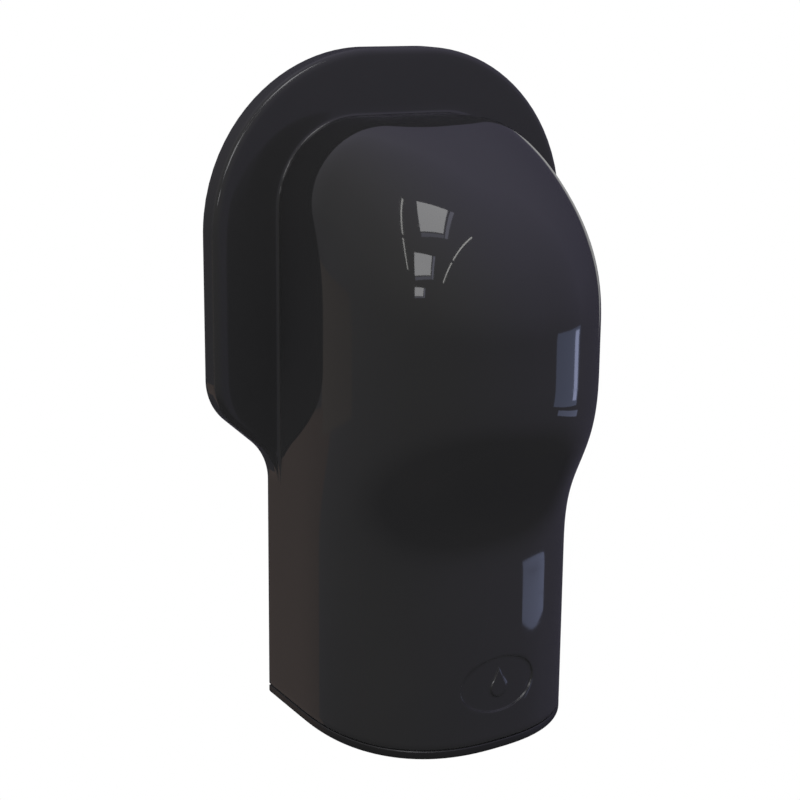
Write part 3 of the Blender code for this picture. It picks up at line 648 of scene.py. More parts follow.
def hole_cutter(radius, centre, bevel, steps=96):
    """Cuts a round hole from below with a bevelled edge."""
    reach = 0.005
    profile = [(0.0, -reach), (radius + bevel + reach, -reach), (radius, bevel), (radius, 0.02), (0.0, 0.02)]
    return turned("cutter", profile, centre, None, steps)


def make_base_plate(finish):
    sections = [(BASE_EDGE + 0.0005, 0.0)]
    sections += [(BASE_EDGE * (1 - sine), BASE_EDGE * (1 - cosine)) for sine, cosine in quarter(5)]
    sections += [(0.0, BASE_THICKNESS - 0.0003), (0.0003, BASE_THICKNESS), (0.0008, BASE_THICKNESS)]
    rings = []
    for inset, h in sections:
        plan = base_outline(inset, 0.002, BASE_BACK - 1.4 * inset, BASE_REAR_CORNER)
        rings.append([(x, y, h) for x, y in plan])
    plate = lofted("base_tray", rings, finish)
    inset = HOOD_WALL + 0.0006
    upstand = slab("upstand", base_outline(inset, 0.006, -0.027, 0.0), 0.003, 0.009, finish)
    inside = slab("inside", base_outline(inset + 0.002, 0.006, -0.02, 0.0), 0.001, 0.012, finish)
    join(plate, cut(upstand, inside))
    cut(plate, hole_cutter(PALM_HOLE, (0.0, PUMP_Y), 0.001), hole_cutter(LOCK_HOLE, (0.0, LOCK_Y), 0.0003))
    return cut(plate, *(hole_cutter(0.0042, centre, 0.0003, 48) for centre in BASE_SCREWS))


def make_base_washer(name, centre, finish):
    """The floor of a screw's counterbore."""
    bore, rim, low, high = 0.0021, 0.0043, 0.0021, 0.0038
    return turned(name, [(bore, low), (rim, low), (rim, high), (bore, high)], centre, finish, 48)


PALM_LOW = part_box("palm_button")[0].z - BASE_Z
PALM_RADIUS = 0.019
PALM_RIM = 0.014
PALM_EDGE = 0.006


def make_palm_button(finish):
    """The pad that a palm pushes up: a shallow dish round the outlet, with a rounded edge."""
    low, edge, wall = PALM_LOW, PALM_EDGE, 0.002
    socket = 0.0033
    dish = PALM_RADIUS - edge
    profile = [(0.0032, low + 0.0012), (0.0036, low + 0.0004), (0.0044, low + 0.0001), (0.0054, low + 0.0002)]
    for share in spread(0.0, 1.0, 10):
        profile.append((0.0058 + (dish - 0.0058) * share, low + 0.001 * math.sin(math.pi * share) ** 0.8))
    profile += [(dish + edge * sine, low + edge - edge * cosine) for sine, cosine in quarter(12, 1)]
    profile += [(PALM_RADIUS, PALM_RIM - 0.0004), (PALM_RADIUS - 0.0004, PALM_RIM)]
    profile += [(PALM_RADIUS - wall, PALM_RIM), (PALM_RADIUS - wall, low + edge)]
    profile += [(dish, low + wall), (0.006, low + wall), (0.006, 0.04), (socket, 0.04), (socket, 0.029)]
    profile += [(0.0016, 0.029), (0.0016, low + 0.006), (0.0032, low + 0.006)]
    return turned("palm_pad", profile, (0.0, PUMP_Y), finish, 128)


def make_nozzle(finish):
    """The soft outlet, with a thickened lip at its mouth."""
    low = PALM_LOW - 0.003
    profile = [(0.0007, low + 0.0002), (0.001, low), (0.0014, low), (0.0017, low + 0.0003)]
    profile += [(0.0017, low + 0.0008), (0.0016, low + 0.0011), (0.0026, PALM_LOW)]
    profile += [(0.0029, PALM_LOW + 0.001), (0.0029, PALM_LOW + 0.0056)]
    profile += [(0.0014, PALM_LOW + 0.0056), (0.0014, PALM_LOW + 0.001)]
    return turned("outlet_tip", profile, (0.0, PUMP_Y), finish, 64)


CORE_RADIUS = 0.0052


def make_lock_barrel(finish):
    bore = CORE_RADIUS + GAP
    profile = [(bore, -0.0008), (bore + 0.0004, -0.0012), (0.0062, -0.0015), (0.0083, -0.0015)]
    profile += [(0.0089, -0.0013), (0.0092, -0.0009), (0.0092, -GAP), (0.007, -GAP)]
    profile += [(0.007, 0.0158), (0.0068, 0.016), (bore, 0.016)]
    return turned("lock_housing", profile, (0.0, LOCK_Y), finish)


def make_lock_nut(finish):
    corners = arc((0.0, LOCK_Y), 0.0098, 0.0, math.tau * 5 / 6, 5)
    nut = slab("lock_ring_nut", corners, 0.0043, 0.008, finish, 0.0005)
    return cut(nut, cylinder(0.0073, 0.0, 0.02, (0.0, LOCK_Y)))


def make_lock_core(finish):
    """The plug that a key turns: its face with the key slot, and a square neck for the cam."""
    axis = (0.0, LOCK_Y)
    face = -0.0012
    profile = [(0.0, face + 0.0002), (0.0036, face + 0.0002), (0.004, face), (CORE_RADIUS - 0.0004, face)]
    profile += [(CORE_RADIUS, face + 0.0004), (CORE_RADIUS, 0.0168), (0.0, 0.0168)]
    core = turned("lock_plug", profile, axis, finish)
    neck = 0.0024
    join(core, block("neck", (-neck, LOCK_Y - neck, 0.016), (neck, LOCK_Y + neck, 0.0196), finish))
    cut(core, block("slot", (-0.0032, LOCK_Y - 0.0006, -0.005), (0.0032, LOCK_Y + 0.0006, 0.006), None))
    cut(core, block("ward", (0.0004, LOCK_Y - 0.0011, -0.005), (0.0014, LOCK_Y + 0.0002, 0.005), None))
    return cut(core, cylinder(0.0015, 0.01, 0.03, axis, 32))


def make_lock_cam(finish):
    """An arm that points to +X when open and swings to the front to lock."""
    heel, reach, half = 0.005, 0.0115, 0.0036
    outline = arc((reach - half, LOCK_Y), half, -math.pi / 2, math.pi / 2, 16)
    outline += arc((0.0, LOCK_Y), heel, math.radians(60), math.radians(300), 28)
    cam = slab("lock_arm", outline, 0.0172, 0.0192, finish, 0.0003)
    hole = 0.0027
    square = block("square", (-hole, LOCK_Y - hole, 0.01), (hole, LOCK_Y + hole, 0.03), None)
    return cut(cam, square)


def make_screw(name, centre, profile, recess_half, recess_low, recess_top, finish):
    """A turned screw standing on its head, with a cross recess cut up into the head."""
    arm, web = recess_half, recess_half * 0.28
    cross = [(web, -arm), (web, -web), (arm, -web)]
    for _ in range(3):
        cross += [(-y, x) for x, y in cross[-3:]]
    cross = [(centre[0] + x, centre[1] + y) for x, y in cross]
    return cut(turned(name, profile, centre, finish, 64), slab("recess", cross, recess_low, recess_top, None))


def pan_profile(foot, head_radius, head_height, shank_radius, length):
    """A pan head with a rounded edge, a shank with shallow thread ridges and a pointed tip."""
    edge = head_height * 0.75
    profile = [(0.0, foot)]
    for sine, cosine in quarter(6):
        profile.append((head_radius - edge + edge * sine, foot + edge - edge * cosine))
    seat, pitch, core = foot + head_height, 0.0011, shank_radius * 0.86
    profile += [(head_radius, seat), (shank_radius, seat)]
    for turn in range(int((length - 2 * shank_radius) / pitch)):
        h = seat + pitch * (turn + 0.3)
        profile += [(core, h), (shank_radius, h + pitch * 0.5), (core, h + pitch * 0.9)]
    return profile + [(core, seat + length - shank_radius), (0.0, seat + length)]


def make_base_screw(name, centre, finish):
    profile = pan_profile(0.0003, 0.0038, 0.0015, 0.0017, 0.0148)
    return make_screw(name, centre, profile, 0.002, -0.001, 0.0013, finish)


def laid_back(made, x, h):
    """Turns a screw made about the world's Z axis so that it points into the wall."""
    lift = Matrix.Translation(Vector((x, 0.0, BASE_Z + h)))
    down = Matrix.Translation(Vector((0.0, 0.0, -BASE_Z)))
    made.data.transform(lift @ Matrix.Rotation(-math.pi / 2, 4, "X") @ down)
    return made


CRADLE_SCREWS = ((-0.022, 0.07), (0.022, 0.07))
CLIP_SCREW = (0.0, 0.156)
SCREW_BORE = 0.002


def make_wall_side_screw(name, place, finish):
    profile = pan_profile(-0.0081, 0.0036, 0.002, 0.0017, 0.0052)
    return laid_back(make_screw(name, (0.0, 0.0), profile, 0.0019, -0.009, -0.0067, finish), *place)


def make_cam_screw(finish):
    profile = [(0.0, 0.0119), (0.0012, 0.0125), (0.0012, 0.0199), (0.004, 0.0199), (0.004, 0.021)]
    profile += [(0.0037, 0.0216), (0.003, 0.0218), (0.0, 0.0218)]
    return make_screw("cam_fixing", (0.0, LOCK_Y), profile, 0.0021, 0.0207, 0.023, finish)


# ---------------------------------------------------------------- wall plate and bottle carrier


PLATE_THICKNESS = 0.003
PLATE_HALF_WIDTH = 0.0555
PLATE_HEAD = 0.08
PLATE_TOP = 0.275
PLATE_TOP_RADIUS = 0.068
PLATE_SHOULDER = 0.14
PLATE_BOTTOM = 0.0043
HOOK_FOOT = 0.262
WALL_HOLES = ((-0.062, 0.225), (0.062, 0.225), (-0.042, 0.04), (0.042, 0.04))
# the pockets in the plate's back, from the lower inner to the upper outer corner
POCKET_DEPTH = 0.0011
POCKETS = (
    ((0.006, 0.082), (0.047, 0.146)),
    ((0.006, 0.166), (0.052, 0.214)),
    ((0.006, 0.222), (0.047, 0.256)),
    ((0.006, 0.012), (0.047, 0.03)),
)
CARRIER_BACK = -PLATE_THICKNESS - GAP
CARRIER_THICKNESS = 0.0024


def wall_hole(radius, x, h, bevel=0.0):
    """Cuts a hole along Y, with a bevel at the plate's front."""
    front = -PLATE_THICKNESS
    flare = radius + bevel + 0.01 * (bevel > 0)
    profile = [(0.0, front - 0.01), (flare, front - 0.01), (radius, front + bevel)]
    profile += [(radius, 0.01), (0.0, 0.01)]
    return laid_back(turned("cutter", profile, (0.0, 0.0), None, 48), x, h)


def pocket(low, high, radius=0.004):
    """Cuts a shallow pocket with round corners into the plate's back, between two (x, h) corners."""
    (left, bottom), (right, top) = low, high
    outline = []
    for turn, (x, h) in enumerate(((right, bottom), (right, top), (left, top), (left, bottom))):
        middle = (x + radius * (1 if x == left else -1), h + radius * (1 if h == bottom else -1))
        start = math.pi / 2 * (turn - 1)
        outline += arc(middle, radius, start, start + math.pi / 2, 6)
    return prism("pocket", outline, -POCKET_DEPTH, 0.005, None)


def make_wall_plate(finish):
    head, wide = PLATE_HEAD, 0.014
    left = [(-PLATE_HALF_WIDTH, PLATE_BOTTOM), (-PLATE_HALF_WIDTH, PLATE_SHOULDER)]
    left += [(-head, PLATE_SHOULDER + head - PLATE_HALF_WIDTH)]
    top = (-head + PLATE_TOP_RADIUS, PLATE_TOP - PLATE_TOP_RADIUS)
    left += arc(top, PLATE_TOP_RADIUS, math.pi, math.pi / 2, 48)
    plate = prism("wall_backing", symmetric(left), -PLATE_THICKNESS, 0.0, finish, 0.0004)
    for name, half, front, back, low, high in (
        ("foot", wide, -0.0082, -0.001, HOOK_FOOT - 0.004, HOOK_FOOT),
        ("lip", wide, -0.0082, -0.0064, HOOK_FOOT - 0.003, HOOK_FOOT + 0.01),
        ("shelf", 0.05, -0.024, -0.001, PLATE_BOTTOM, PLATE_BOTTOM + 0.003),
    ):
        join(plate, block(name, (-half, front, low), (half, back, high), finish))
    for centre in BASE_SCREWS:
        profile = [(0.0, PLATE_BOTTOM + 0.001), (0.005, PLATE_BOTTOM + 0.001), (0.005, 0.0196)]
        profile += [(0.0046, 0.02), (0.0, 0.02)]
        join(plate, turned("boss", profile, centre, finish, 48))
    for x in (-0.0505, 0.0505):
        join(plate, block("rib", (x - 0.001, -0.0085, 0.06), (x + 0.001, -0.001, 0.235), finish))
    cut(plate, *(wall_hole(0.00325, x, h, 0.0006) for x, h in WALL_HOLES))
    cut(plate, *(wall_hole(SCREW_BORE, x, h) for x, h in (*CRADLE_SCREWS, CLIP_SCREW)))
    for (inner, low), (outer, high) in POCKETS:
        cut(plate, pocket((inner, low), (outer, high)), pocket((-outer, low), (-inner, high)))
    return cut(plate, *(cylinder(0.002, 0.0, 0.0185, centre, 32) for centre in BASE_SCREWS))


SHELF_LOW = 0.085
SHELF_TOP = 0.088
NECK_RADIUS = 0.0165


def make_cradle(finish):
    """The bracket whose shelf carries the upturned bottle by its shoulder."""
    half, front, slot = 0.044, PUMP_Y - 0.028, NECK_RADIUS + 0.002
    left = [(-half, CARRIER_BACK)]
    left += arc((-half + 0.006, front + 0.006), 0.006, math.pi, 1.5 * math.pi, 8) + [(-slot, front)]
    outline = symmetric(left, reversed(arc((0.0, PUMP_Y), slot, 0.0, math.pi, 40)))
    cradle = slab("bottle_shelf", outline, SHELF_LOW, SHELF_TOP, finish, 0.0004)
    low = (-0.032, CARRIER_BACK - CARRIER_THICKNESS, 0.06)
    join(cradle, block("back", low, (0.032, CARRIER_BACK, SHELF_TOP - 0.001), finish))
    rear = CARRIER_BACK - 0.001
    gusset = [(rear, 0.06), (PUMP_Y + 0.012, SHELF_LOW + 0.001), (rear, SHELF_LOW + 0.001)]
    for side in (-1, 1):
        rings = [[(side * x, y, h) for y, h in gusset] for x in (0.029, 0.032)]
        join(cradle, lofted("gusset", rings, finish))
    return cut(cradle, *(wall_hole(SCREW_BORE, x, h) for x, h in CRADLE_SCREWS))


def make_clip(finish):
    """A springy band with round bends that steadies the bottle against the wall plate."""
    thick, half, bend = 0.0015, 0.0481, 0.004
    back = CARRIER_BACK
    outer = arc((-half + bend, back - bend), bend, math.pi / 2, math.pi, 8)
    outer += [(-half, -0.06), (-half - 0.0012, -0.0628), (-half - 0.003, -0.064)]
    inner = [(-half + thick - 0.003, -0.0645), (-half + thick - 0.0006, -0.0632), (-half + thick, -0.06)]
    inner += reversed(arc((-half + bend, back - bend - 0.0009), bend - thick, math.pi / 2, math.pi, 8))
    clip = slab("bottle_spring_clip", symmetric(outer + inner), 0.15, 0.162, finish, 0.0002, 2)
    return cut(clip, wall_hole(SCREW_BORE, *CLIP_SCREW))


# ---------------------------------------------------------------- refill bottle and pump


BOTTLE_HALF_WIDTH = 0.046
BOTTLE_HALF_DEPTH = 0.037
BOTTLE_WALL = 0.0014
BOTTLE_TOP = 0.222
BOTTLE_EXPONENT = 3.4


def rounded_ring(half_width, half_depth, exponent, h, steps=112):
    ring = []
    for step in range(steps):
        angle = math.tau * step / steps
        across, along = math.cos(angle), math.sin(angle)
        x = half_width * math.copysign(abs(across) ** (2 / exponent), across)
        y = half_depth * math.copysign(abs(along) ** (2 / exponent), along)
        ring.append((x, PUMP_Y + y, h))
    return ring


def bottle_rings(inset):
    """The bottle from its mouth up to its closed end, with a sunk band round its middle."""
    neck = NECK_RADIUS - inset
    wide, deep = BOTTLE_HALF_WIDTH - inset, BOTTLE_HALF_DEPTH - inset
    foot, top = SHELF_TOP + GAP + inset, BOTTLE_TOP - inset
    shoulder, crown = 0.01, 0.016
    collars = [(0.0, 0.0677)]
    if not inset:
        for h in (0.07, 0.073, 0.076):
            collars += [(0.0, h), (0.0004, h + 0.0004), (0.0004, h + 0.0009), (0.0, h + 0.0013)]
    collars += [(0.0, foot - 0.001), (0.001, foot)]
    rings = [rounded_ring(neck + bulge, neck + bulge, 2.0, h) for bulge, h in collars]
    sides = [(shoulder * (1.0 - sine), foot + shoulder * (1.0 - cosine)) for sine, cosine in quarter(8)]
    for h in spread(0.108, 0.196, 22):
        sides.append((0.0008 * smooth_step((h - 0.112) / 0.004) * smooth_step((0.192 - h) / 0.004), h))
    sides += [(crown * (1.0 - cosine), top - crown + crown * sine) for sine, cosine in quarter(9)]
    return rings + [rounded_ring(wide - dent, deep - dent, BOTTLE_EXPONENT, h) for dent, h in sides]


def make_bottle(finish):
    return lofted("refill_flask", bottle_rings(0.0)[::-1] + bottle_rings(BOTTLE_WALL), finish)


def make_closure(finish):
    """The screw cap, with fine upright grips round its side."""
    grips, per_grip = 48, 4
    low, high = 0.0624, 0.0844
    floor = low + 0.0027
    profile = [(0.009, low, 0), (0.018, low, 0), (0.0192, low + 0.0005, 0), (0.0198, low + 0.0018, 1)]
    profile += [(0.0198, high - 0.0012, 1), (0.0198, high - 0.0008, 0), (0.0195, high, 0)]
    profile += [(0.017, high, 0), (0.017, floor, 0), (0.009, floor, 0)]
    sheet = Sheet()
    rings = []
    for radius, h, gripped in profile:
        ring = []
        for step in range(grips * per_grip):
            angle = math.tau * step / (grips * per_grip)
            reach = radius - 0.0005 * gripped * (step % per_grip in (0, 1))
            ring.append((reach * math.cos(angle), PUMP_Y + reach * math.sin(angle), h))
        rings.append(sheet.line(ring))
    sheet.wrap(rings + rings[:1])
    return sheet.made("bottle_cap", finish)


def tube(inner, outer, low, high, bevel=0.0002):
    """Section of a plain ring with lightly bevelled edges."""
    return [
        (inner, low + bevel), (inner + bevel, low), (outer - bevel, low), (outer, low + bevel),
        (outer, high - bevel), (outer - bevel, high), (inner + bevel, high), (inner, high - bevel),
    ]


def pump_profiles():
    """Sections of the turned pieces on the pump's axis."""
    bore, stem = 0.0073, 0.003
    barrel = [(bore, 0.0654), (0.0158, 0.0654), (0.016, 0.0656), (0.016, 0.0661), (0.0086, 0.0661)]
    barrel += [(0.0086, 0.1105), (0.008, 0.1118), (0.005, 0.1128), (0.0046, 0.1135), (0.0046, 0.1177)]
    barrel += [(0.0043, 0.118), (0.0022, 0.118), (0.0022, 0.1105), (0.0036, 0.109), (0.0036, 0.103)]
    rod = [(0.0016, 0.03), (stem - 0.0002, 0.03), (stem, 0.0302), (stem, 0.078), (0.0064, 0.078)]
    rod += [(0.0066, 0.0782), (0.0066, 0.0795), (0.0016, 0.0795)]
    cup = [(stem + GAP, 0.0743), (0.0068, 0.0743), (0.007, 0.0748), (0.007, 0.0752), (0.0067, 0.0756)]
    cup += [(0.0066, 0.076), (0.0067, 0.0764), (0.007, 0.0768), (0.007, 0.0772), (0.0068, 0.0777)]
    ball = [(0.003 * math.sin(a), 0.1063 - 0.003 * math.cos(a)) for a in spread(0.0, math.pi, 24)[:-1]]
    return {
        "seal_ring": tube(0.0095, 0.0158, 0.0664, 0.0674),
        "pump_barrel": barrel + [(bore, 0.103)],
        "check_ball": [(0.0, 0.1033)] + ball + [(0.0, 0.1093)],
        "ball_cage": tube(0.0018, 0.0069, 0.1015, 0.1027),
        "guide_bush": tube(stem + GAP, 0.007, 0.064, 0.074),
        "pump_rod": rod,
        "cup_seal": cup + [(stem + GAP, 0.0777)],
    }


def make_spring(finish):
    """The return spring, with its end coils wound close."""
    turns, per_turn, sides = 7, 40, 10
    wire, coil = 0.0005, 0.0056
    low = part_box("return_spring")[0].z - BASE_Z + wire
    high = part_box("return_spring")[1].z - BASE_Z - wire
    closed = 0.9 / turns
    sheet = Sheet()
    rings = []
    for step in range(turns * per_turn + 1):
        share = step / (turns * per_turn)
        along = (share - closed) / (1 - 2 * closed)
        climb = 0.06 * smooth_step(along) + 0.94 * min(max(along, 0.0), 1.0)
        lift = 2.1 * wire * (min(share, closed) + max(share - 1 + closed, 0.0)) / closed
        angle = math.tau * turns * share
        out = Vector((math.cos(angle), math.sin(angle), 0.0))
        centre = out * coil + Vector((0.0, PUMP_Y, low + (high - low - 4.2 * wire) * climb + lift))
        ring = []
        for side in range(sides):
            around = math.tau * side / sides
            rise = Vector((0.0, 0.0, wire * math.sin(around)))
            ring.append(centre + out * (wire * math.cos(around)) + rise)
        rings.append(sheet.line(ring))
    sheet.wrap(rings)
    sheet.face(rings[0])
    sheet.face(rings[-1])
    return sheet.made("pump_spring", finish)


# ---------------------------------------------------------------- materials


class Nodes:
    """A node tree that grows by one node at a time."""

    def __init__(self, tree):
        self.tree = tree

    def node(self, kind, inputs, output=0, **settings):
        """Adds a node, sets or links its inputs and gives one of its outputs."""
        node = self.tree.nodes.new("ShaderNode" + kind)
        for key, value in settings.items():
            setattr(node, key, value)
        self.fill(node, inputs)
        return None if output is None else node.outputs[output]

    def fill(self, node, inputs):
        for key, value in inputs.items():
            if isinstance(value, bpy.types.NodeSocket):
                self.tree.links.new(value, node.inputs[key])
            elif isinstance(value, tuple) and node.inputs[key].type == "RGBA":
                node.inputs[key].default_value = (*value, 1.0)
            else:
                node.inputs[key].default_value = value

    def ranged(self, value, low, high, to_low, to_high):
        limits = {"From Min": low, "From Max": high, "To Min": to_low, "To Max": to_high}
        return self.node("MapRange", {"Value": value, **limits})

    def mixed(self, factor, first, second, blend="MIX"):
        return self.node("Mix", {0: factor, 6: first, 7: second}, 2, data_type="RGBA", blend_type=blend)


class Finish(Nodes):
    """A Principled material with procedural tone, roughness and relief in the piece's own space."""

    def __init__(self, name, **sockets):
        self.made = bpy.data.materials.new(name)
        self.made.use_nodes = True
        super().__init__(self.made.node_tree)
        self.place = self.node("TexCoord", {}, "Object")
        self.set(**sockets)

    def set(self, **sockets):
        shader = self.tree.nodes["Principled BSDF"]
        self.fill(shader, {key.replace("_", " "): value for key, value in sockets.items()})

    def noise(self, size, detail=3.0, stretch=None):
        """Noise from 0 to 1 whose features are about size metres across."""
        place = self.place
        if stretch:
            place = self.node("Mapping", {"Vector": place, "Scale": stretch, "Rotation": (0.3, 0.7, 0.5)})
        return self.node("TexNoise", {"Scale": 1.0 / size, "Detail": detail, "Vector": place})

    def specks(self, spacing, radius):
        """A mask of small round specks."""
        cells = self.node("TexVoronoi", {"Scale": 1.0 / spacing, "Vector": self.place}, "Distance")
        return self.ranged(cells, 0.0, radius / spacing, 1.0, 0.0)

    def edges(self, start, end):
        """A mask of the outer edges."""
        return self.ranged(self.node("NewGeometry", {}, "Pointiness"), start, end, 0.0, 1.0)

    def math(self, operation, first, second):
        return self.node("Math", {0: first, 1: second}, operation=operation)

    def tone(self, base, other, mask, size):
        """Base colour drifting softly between two tones, and to a third where a mask is set."""
        colour = self.mixed(self.ranged(self.noise(size), 0.3, 0.7, 0.0, 1.0), base, other)
        if mask:
            colour = self.mixed(mask, colour, tuple(min(2.4 * v + 0.004, 1.0) for v in other))
        self.set(Base_Color=colour)

    def relief(self, *layers):
        """Stacks bumps of (height, depth in metres)."""
        below = {}
        for height, depth in layers:
            below = {"Normal": self.node("Bump", {"Distance": depth, "Height": height, **below})}
        self.set(**below)


def gloss_black():
    """Injection moulded gloss: faint flow waves, wiped-on haze, hair scratches and a little dust."""
    finish = Finish("hood_gloss_black", IOR=1.53)
    dust = finish.specks(0.006, 0.0001)
    finish.tone((0.016, 0.016, 0.0168), (0.0176, 0.0174, 0.018), dust, 0.06)
    rough = finish.ranged(finish.noise(0.045, 4.0), 0.42, 0.75, 0.03, 0.075)
    scratch = finish.ranged(finish.noise(0.004, 2.0, (0.04, 1.0, 1.0)), 0.66, 0.72, 0.0, 0.05)
    dusty = finish.math("MULTIPLY", dust, 0.35)
    worn = finish.math("MULTIPLY", finish.edges(0.52, 0.6), 0.05)
    for layer in (scratch, dusty, worn):
        rough = finish.math("ADD", rough, layer)
    finish.set(Roughness=rough)
    finish.relief((finish.noise(0.04, 1.0), 0.00002), (finish.noise(0.0014, 2.0), 0.0000006))
    return finish.made


def moulded(name, colour, roughness, grain=0.0004, depth=0.00001, **sockets):
    """Textured moulded plastic: spark-eroded grain, soft tone drift and rubbed edges."""
    finish = Finish(name, **sockets)
    dust = finish.specks(0.0075, 0.0001) if max(colour) < 0.2 else None
    finish.tone(colour, tuple(v * 1.06 for v in colour), dust, 0.02)
    drift = finish.ranged(finish.noise(0.012, 4.0), 0.3, 0.7, roughness * 0.85, roughness * 1.15)
    worn = finish.math("MULTIPLY", finish.edges(0.52, 0.62), -0.25 * roughness)
    finish.set(Roughness=finish.math("ADD", drift, worn))
    finish.relief((finish.noise(grain, 3.0), depth), (finish.noise(0.018, 1.0), depth * 3))
    return finish.made


def metal(name, colour, roughness, stretch=(1.0, 1.0, 0.04)):
    """Metal with fine machining lines, tone drift and rubbed patches."""
    finish = Finish(name, Metallic=1.0)
    finish.tone(colour, tuple(v * 0.86 for v in colour), None, 0.004)
    lines = finish.noise(0.0003, 2.0, stretch)
    brushed = finish.ranged(lines, 0.3, 0.7, roughness * 0.7, roughness * 1.3)
    patches = finish.ranged(finish.noise(0.003, 3.0), 0.5, 0.8, 0.0, 0.06)
    finish.set(Roughness=finish.math("ADD", brushed, patches))
    finish.relief((lines, 0.000004))
    return finish.made


def make_finishes():
    milky = {"Subsurface_Weight": 0.35, "Subsurface_Radius": (0.012, 0.011, 0.01), "Subsurface_Scale": 0.5}
    soft = {"Subsurface_Weight": 0.4, "Subsurface_Radius": (0.004, 0.004, 0.004), "Subsurface_Scale": 0.4}
    return {
        "hood_gloss": gloss_black(),
        "base_plastic": moulded("base_satin_black", (0.01, 0.01, 0.0105), 0.3),
        "button_plastic": moulded("pad_satin_black", (0.018, 0.018, 0.019), 0.38, 0.0005, 0.000012),
        "chassis_plastic": moulded("chassis_grey", (0.115, 0.117, 0.122), 0.42, 0.0005, 0.000014),
        "bottle_plastic": moulded("milky_bottle", (0.78, 0.81, 0.82), 0.3, 0.0009, 0.00001, **milky),
        "pump_plastic": moulded("pump_white", (0.8, 0.8, 0.78), 0.34, 0.0006, 0.000006),
        "rubber": moulded("seal_rubber", (0.028, 0.028, 0.029), 0.62, 0.0003, 0.00001),
        "silicone": moulded("outlet_silicone", (0.6, 0.61, 0.6), 0.45, 0.0005, 0.000006, **soft),
        "steel": metal("stainless", (0.6, 0.6, 0.61), 0.24),
        "lock_chrome": metal("plated_chrome", (0.66, 0.66, 0.67), 0.1),
        "lock_brass": metal("machined_brass", (0.72, 0.57, 0.31), 0.26, (1.0, 0.05, 1.0)),
    }


# ---------------------------------------------------------------- stage, light and camera


CAMERA_PLACE = (-0.36726, -0.60246, 0.17406)
CAMERA_YAW = math.radians(32.0)
CAMERA_PITCH = math.radians(-15.25)
CAMERA_ROLL = math.radians(0.88)
CAMERA_LENS = 71.87
CAMERA_SENSOR = 36.0

# the room's brightness by the height a reflection looks to, its tint from left to right, and how it
# darkens towards the back and the right rear corner
ROOM_BY_HEIGHT = (
    (-1.0, 0.01), (-0.62, 0.02), (-0.42, 0.12), (-0.15, 0.17),
    (0.0, 0.22), (0.18, 0.28), (0.55, 0.36), (1.0, 0.5),
)
ROOM_TINT = ((-1.0, (1.02, 1.0, 0.98)), (0.0, (1.0, 0.96, 1.2)), (1.0, (0.98, 0.9, 1.45)))
ROOM_BY_DEPTH = ((-1.0, 1.0), (0.7, 1.0), (0.88, 0.5), (1.0, 0.45))
ROOM_BACK_RIGHT = ((-1.0, 1.0), (0.45, 1.0), (0.7, 0.7), (0.95, 0.35))
EVEN_LIGHT = (0.95, 0.95, 0.95)
WHITE = (1.0, 1.0, 1.0)


def make_camera():
    lens = bpy.data.cameras.new("camera")
    lens.sensor_width = CAMERA_SENSOR
    lens.lens = CAMERA_LENS
    lens.clip_end = 500.0
    camera = bpy.data.objects.new("camera", lens)
    bpy.context.collection.objects.link(camera)
    turn = Matrix.Rotation(-CAMERA_YAW, 4, "Z") @ Matrix.Rotation(math.pi / 2 + CAMERA_PITCH, 4, "X")
    turn = turn @ Matrix.Rotation(CAMERA_ROLL, 4, "Z")
    camera.matrix_world = Matrix.Translation(Vector(CAMERA_PLACE)) @ turn
    bpy.context.scene.camera = camera


def make_room():
    """A dim studio for the reflections, even light for the surfaces, and a white backdrop."""
    world = bpy.data.worlds.new("room")
    bpy.context.scene.world = world
    world.cycles.sampling_method = "NONE"
    world.use_nodes = True
    world.node_tree.nodes.clear()
    room = Nodes(world.node_tree)
    place = room.node("TexCoord", {}, "Generated")

    def ramp(direction, stops):
        """Brightness or tint by how far a ray looks along a direction."""
        along = room.node("VectorMath", {0: place, 1: direction}, "Value", operation="DOT_PRODUCT")
        made = room.node("ValToRGB", {"Fac": room.ranged(along, -1.0, 1.0, 0.0, 1.0)})
        steps = made.node.color_ramp.elements
        while len(steps) < len(stops):
            steps.new(0.5)
        for step, (where, colour) in zip(steps, stops):
            grey = (colour,) * 3 if isinstance(colour, float) else colour
            step.position = where / 2 + 0.5
            step.color = (*grey, 1.0)
        return made

    light = ramp((0.0, 0.0, 1.0), ROOM_BY_HEIGHT)
    corner = (math.sqrt(0.5), math.sqrt(0.5), 0.0)
    sides = (((1.0, 0.0, 0.0), ROOM_TINT), ((0.0, 1.0, 0.0), ROOM_BY_DEPTH), (corner, ROOM_BACK_RIGHT))
    for direction, stops in sides:
        light = room.mixed(1.0, light, ramp(direction, stops), "MULTIPLY")
    glossy, even, white = (room.node("Background", {"Color": c}) for c in (light, EVEN_LIGHT, WHITE))
    for flag, seen in (("Is Glossy Ray", glossy), ("Is Camera Ray", white)):
        even = room.node("MixShader", {"Fac": room.node("LightPath", {}, flag), 1: even, 2: seen})
    room.node("OutputWorld", {"Surface": even}, None)


def glow(name, colour):
    """An emission material."""
    finish = bpy.data.materials.new(name)
    finish.use_nodes = True
    tree = Nodes(finish.node_tree)
    tree.tree.nodes.remove(tree.tree.nodes["Principled BSDF"])
    strength = max(colour)
    hue = tuple(value / strength for value in colour)
    light = tree.node("Emission", {"Color": hue, "Strength": strength})
    tree.fill(tree.tree.nodes["Material Output"], {"Surface": light})
    return finish


def panel(name, centre, across, down, colour, unseen="camera"):
    """A luminous panel of the room, which only reflections see, or only the camera."""
    centre, across, down = Vector(centre), Vector(across) / 2, Vector(down) / 2
    corners = [centre - across - down, centre + across - down, centre + across + down, centre - across + down]
    mesh = bpy.data.meshes.new(name)
    mesh.from_pydata(corners, [], [(0, 1, 2, 3)])
    made = linked(name, mesh, glow(name, colour))
    for rays in (unseen, "diffuse", "shadow"):
        setattr(made, "visible_" + rays, False)


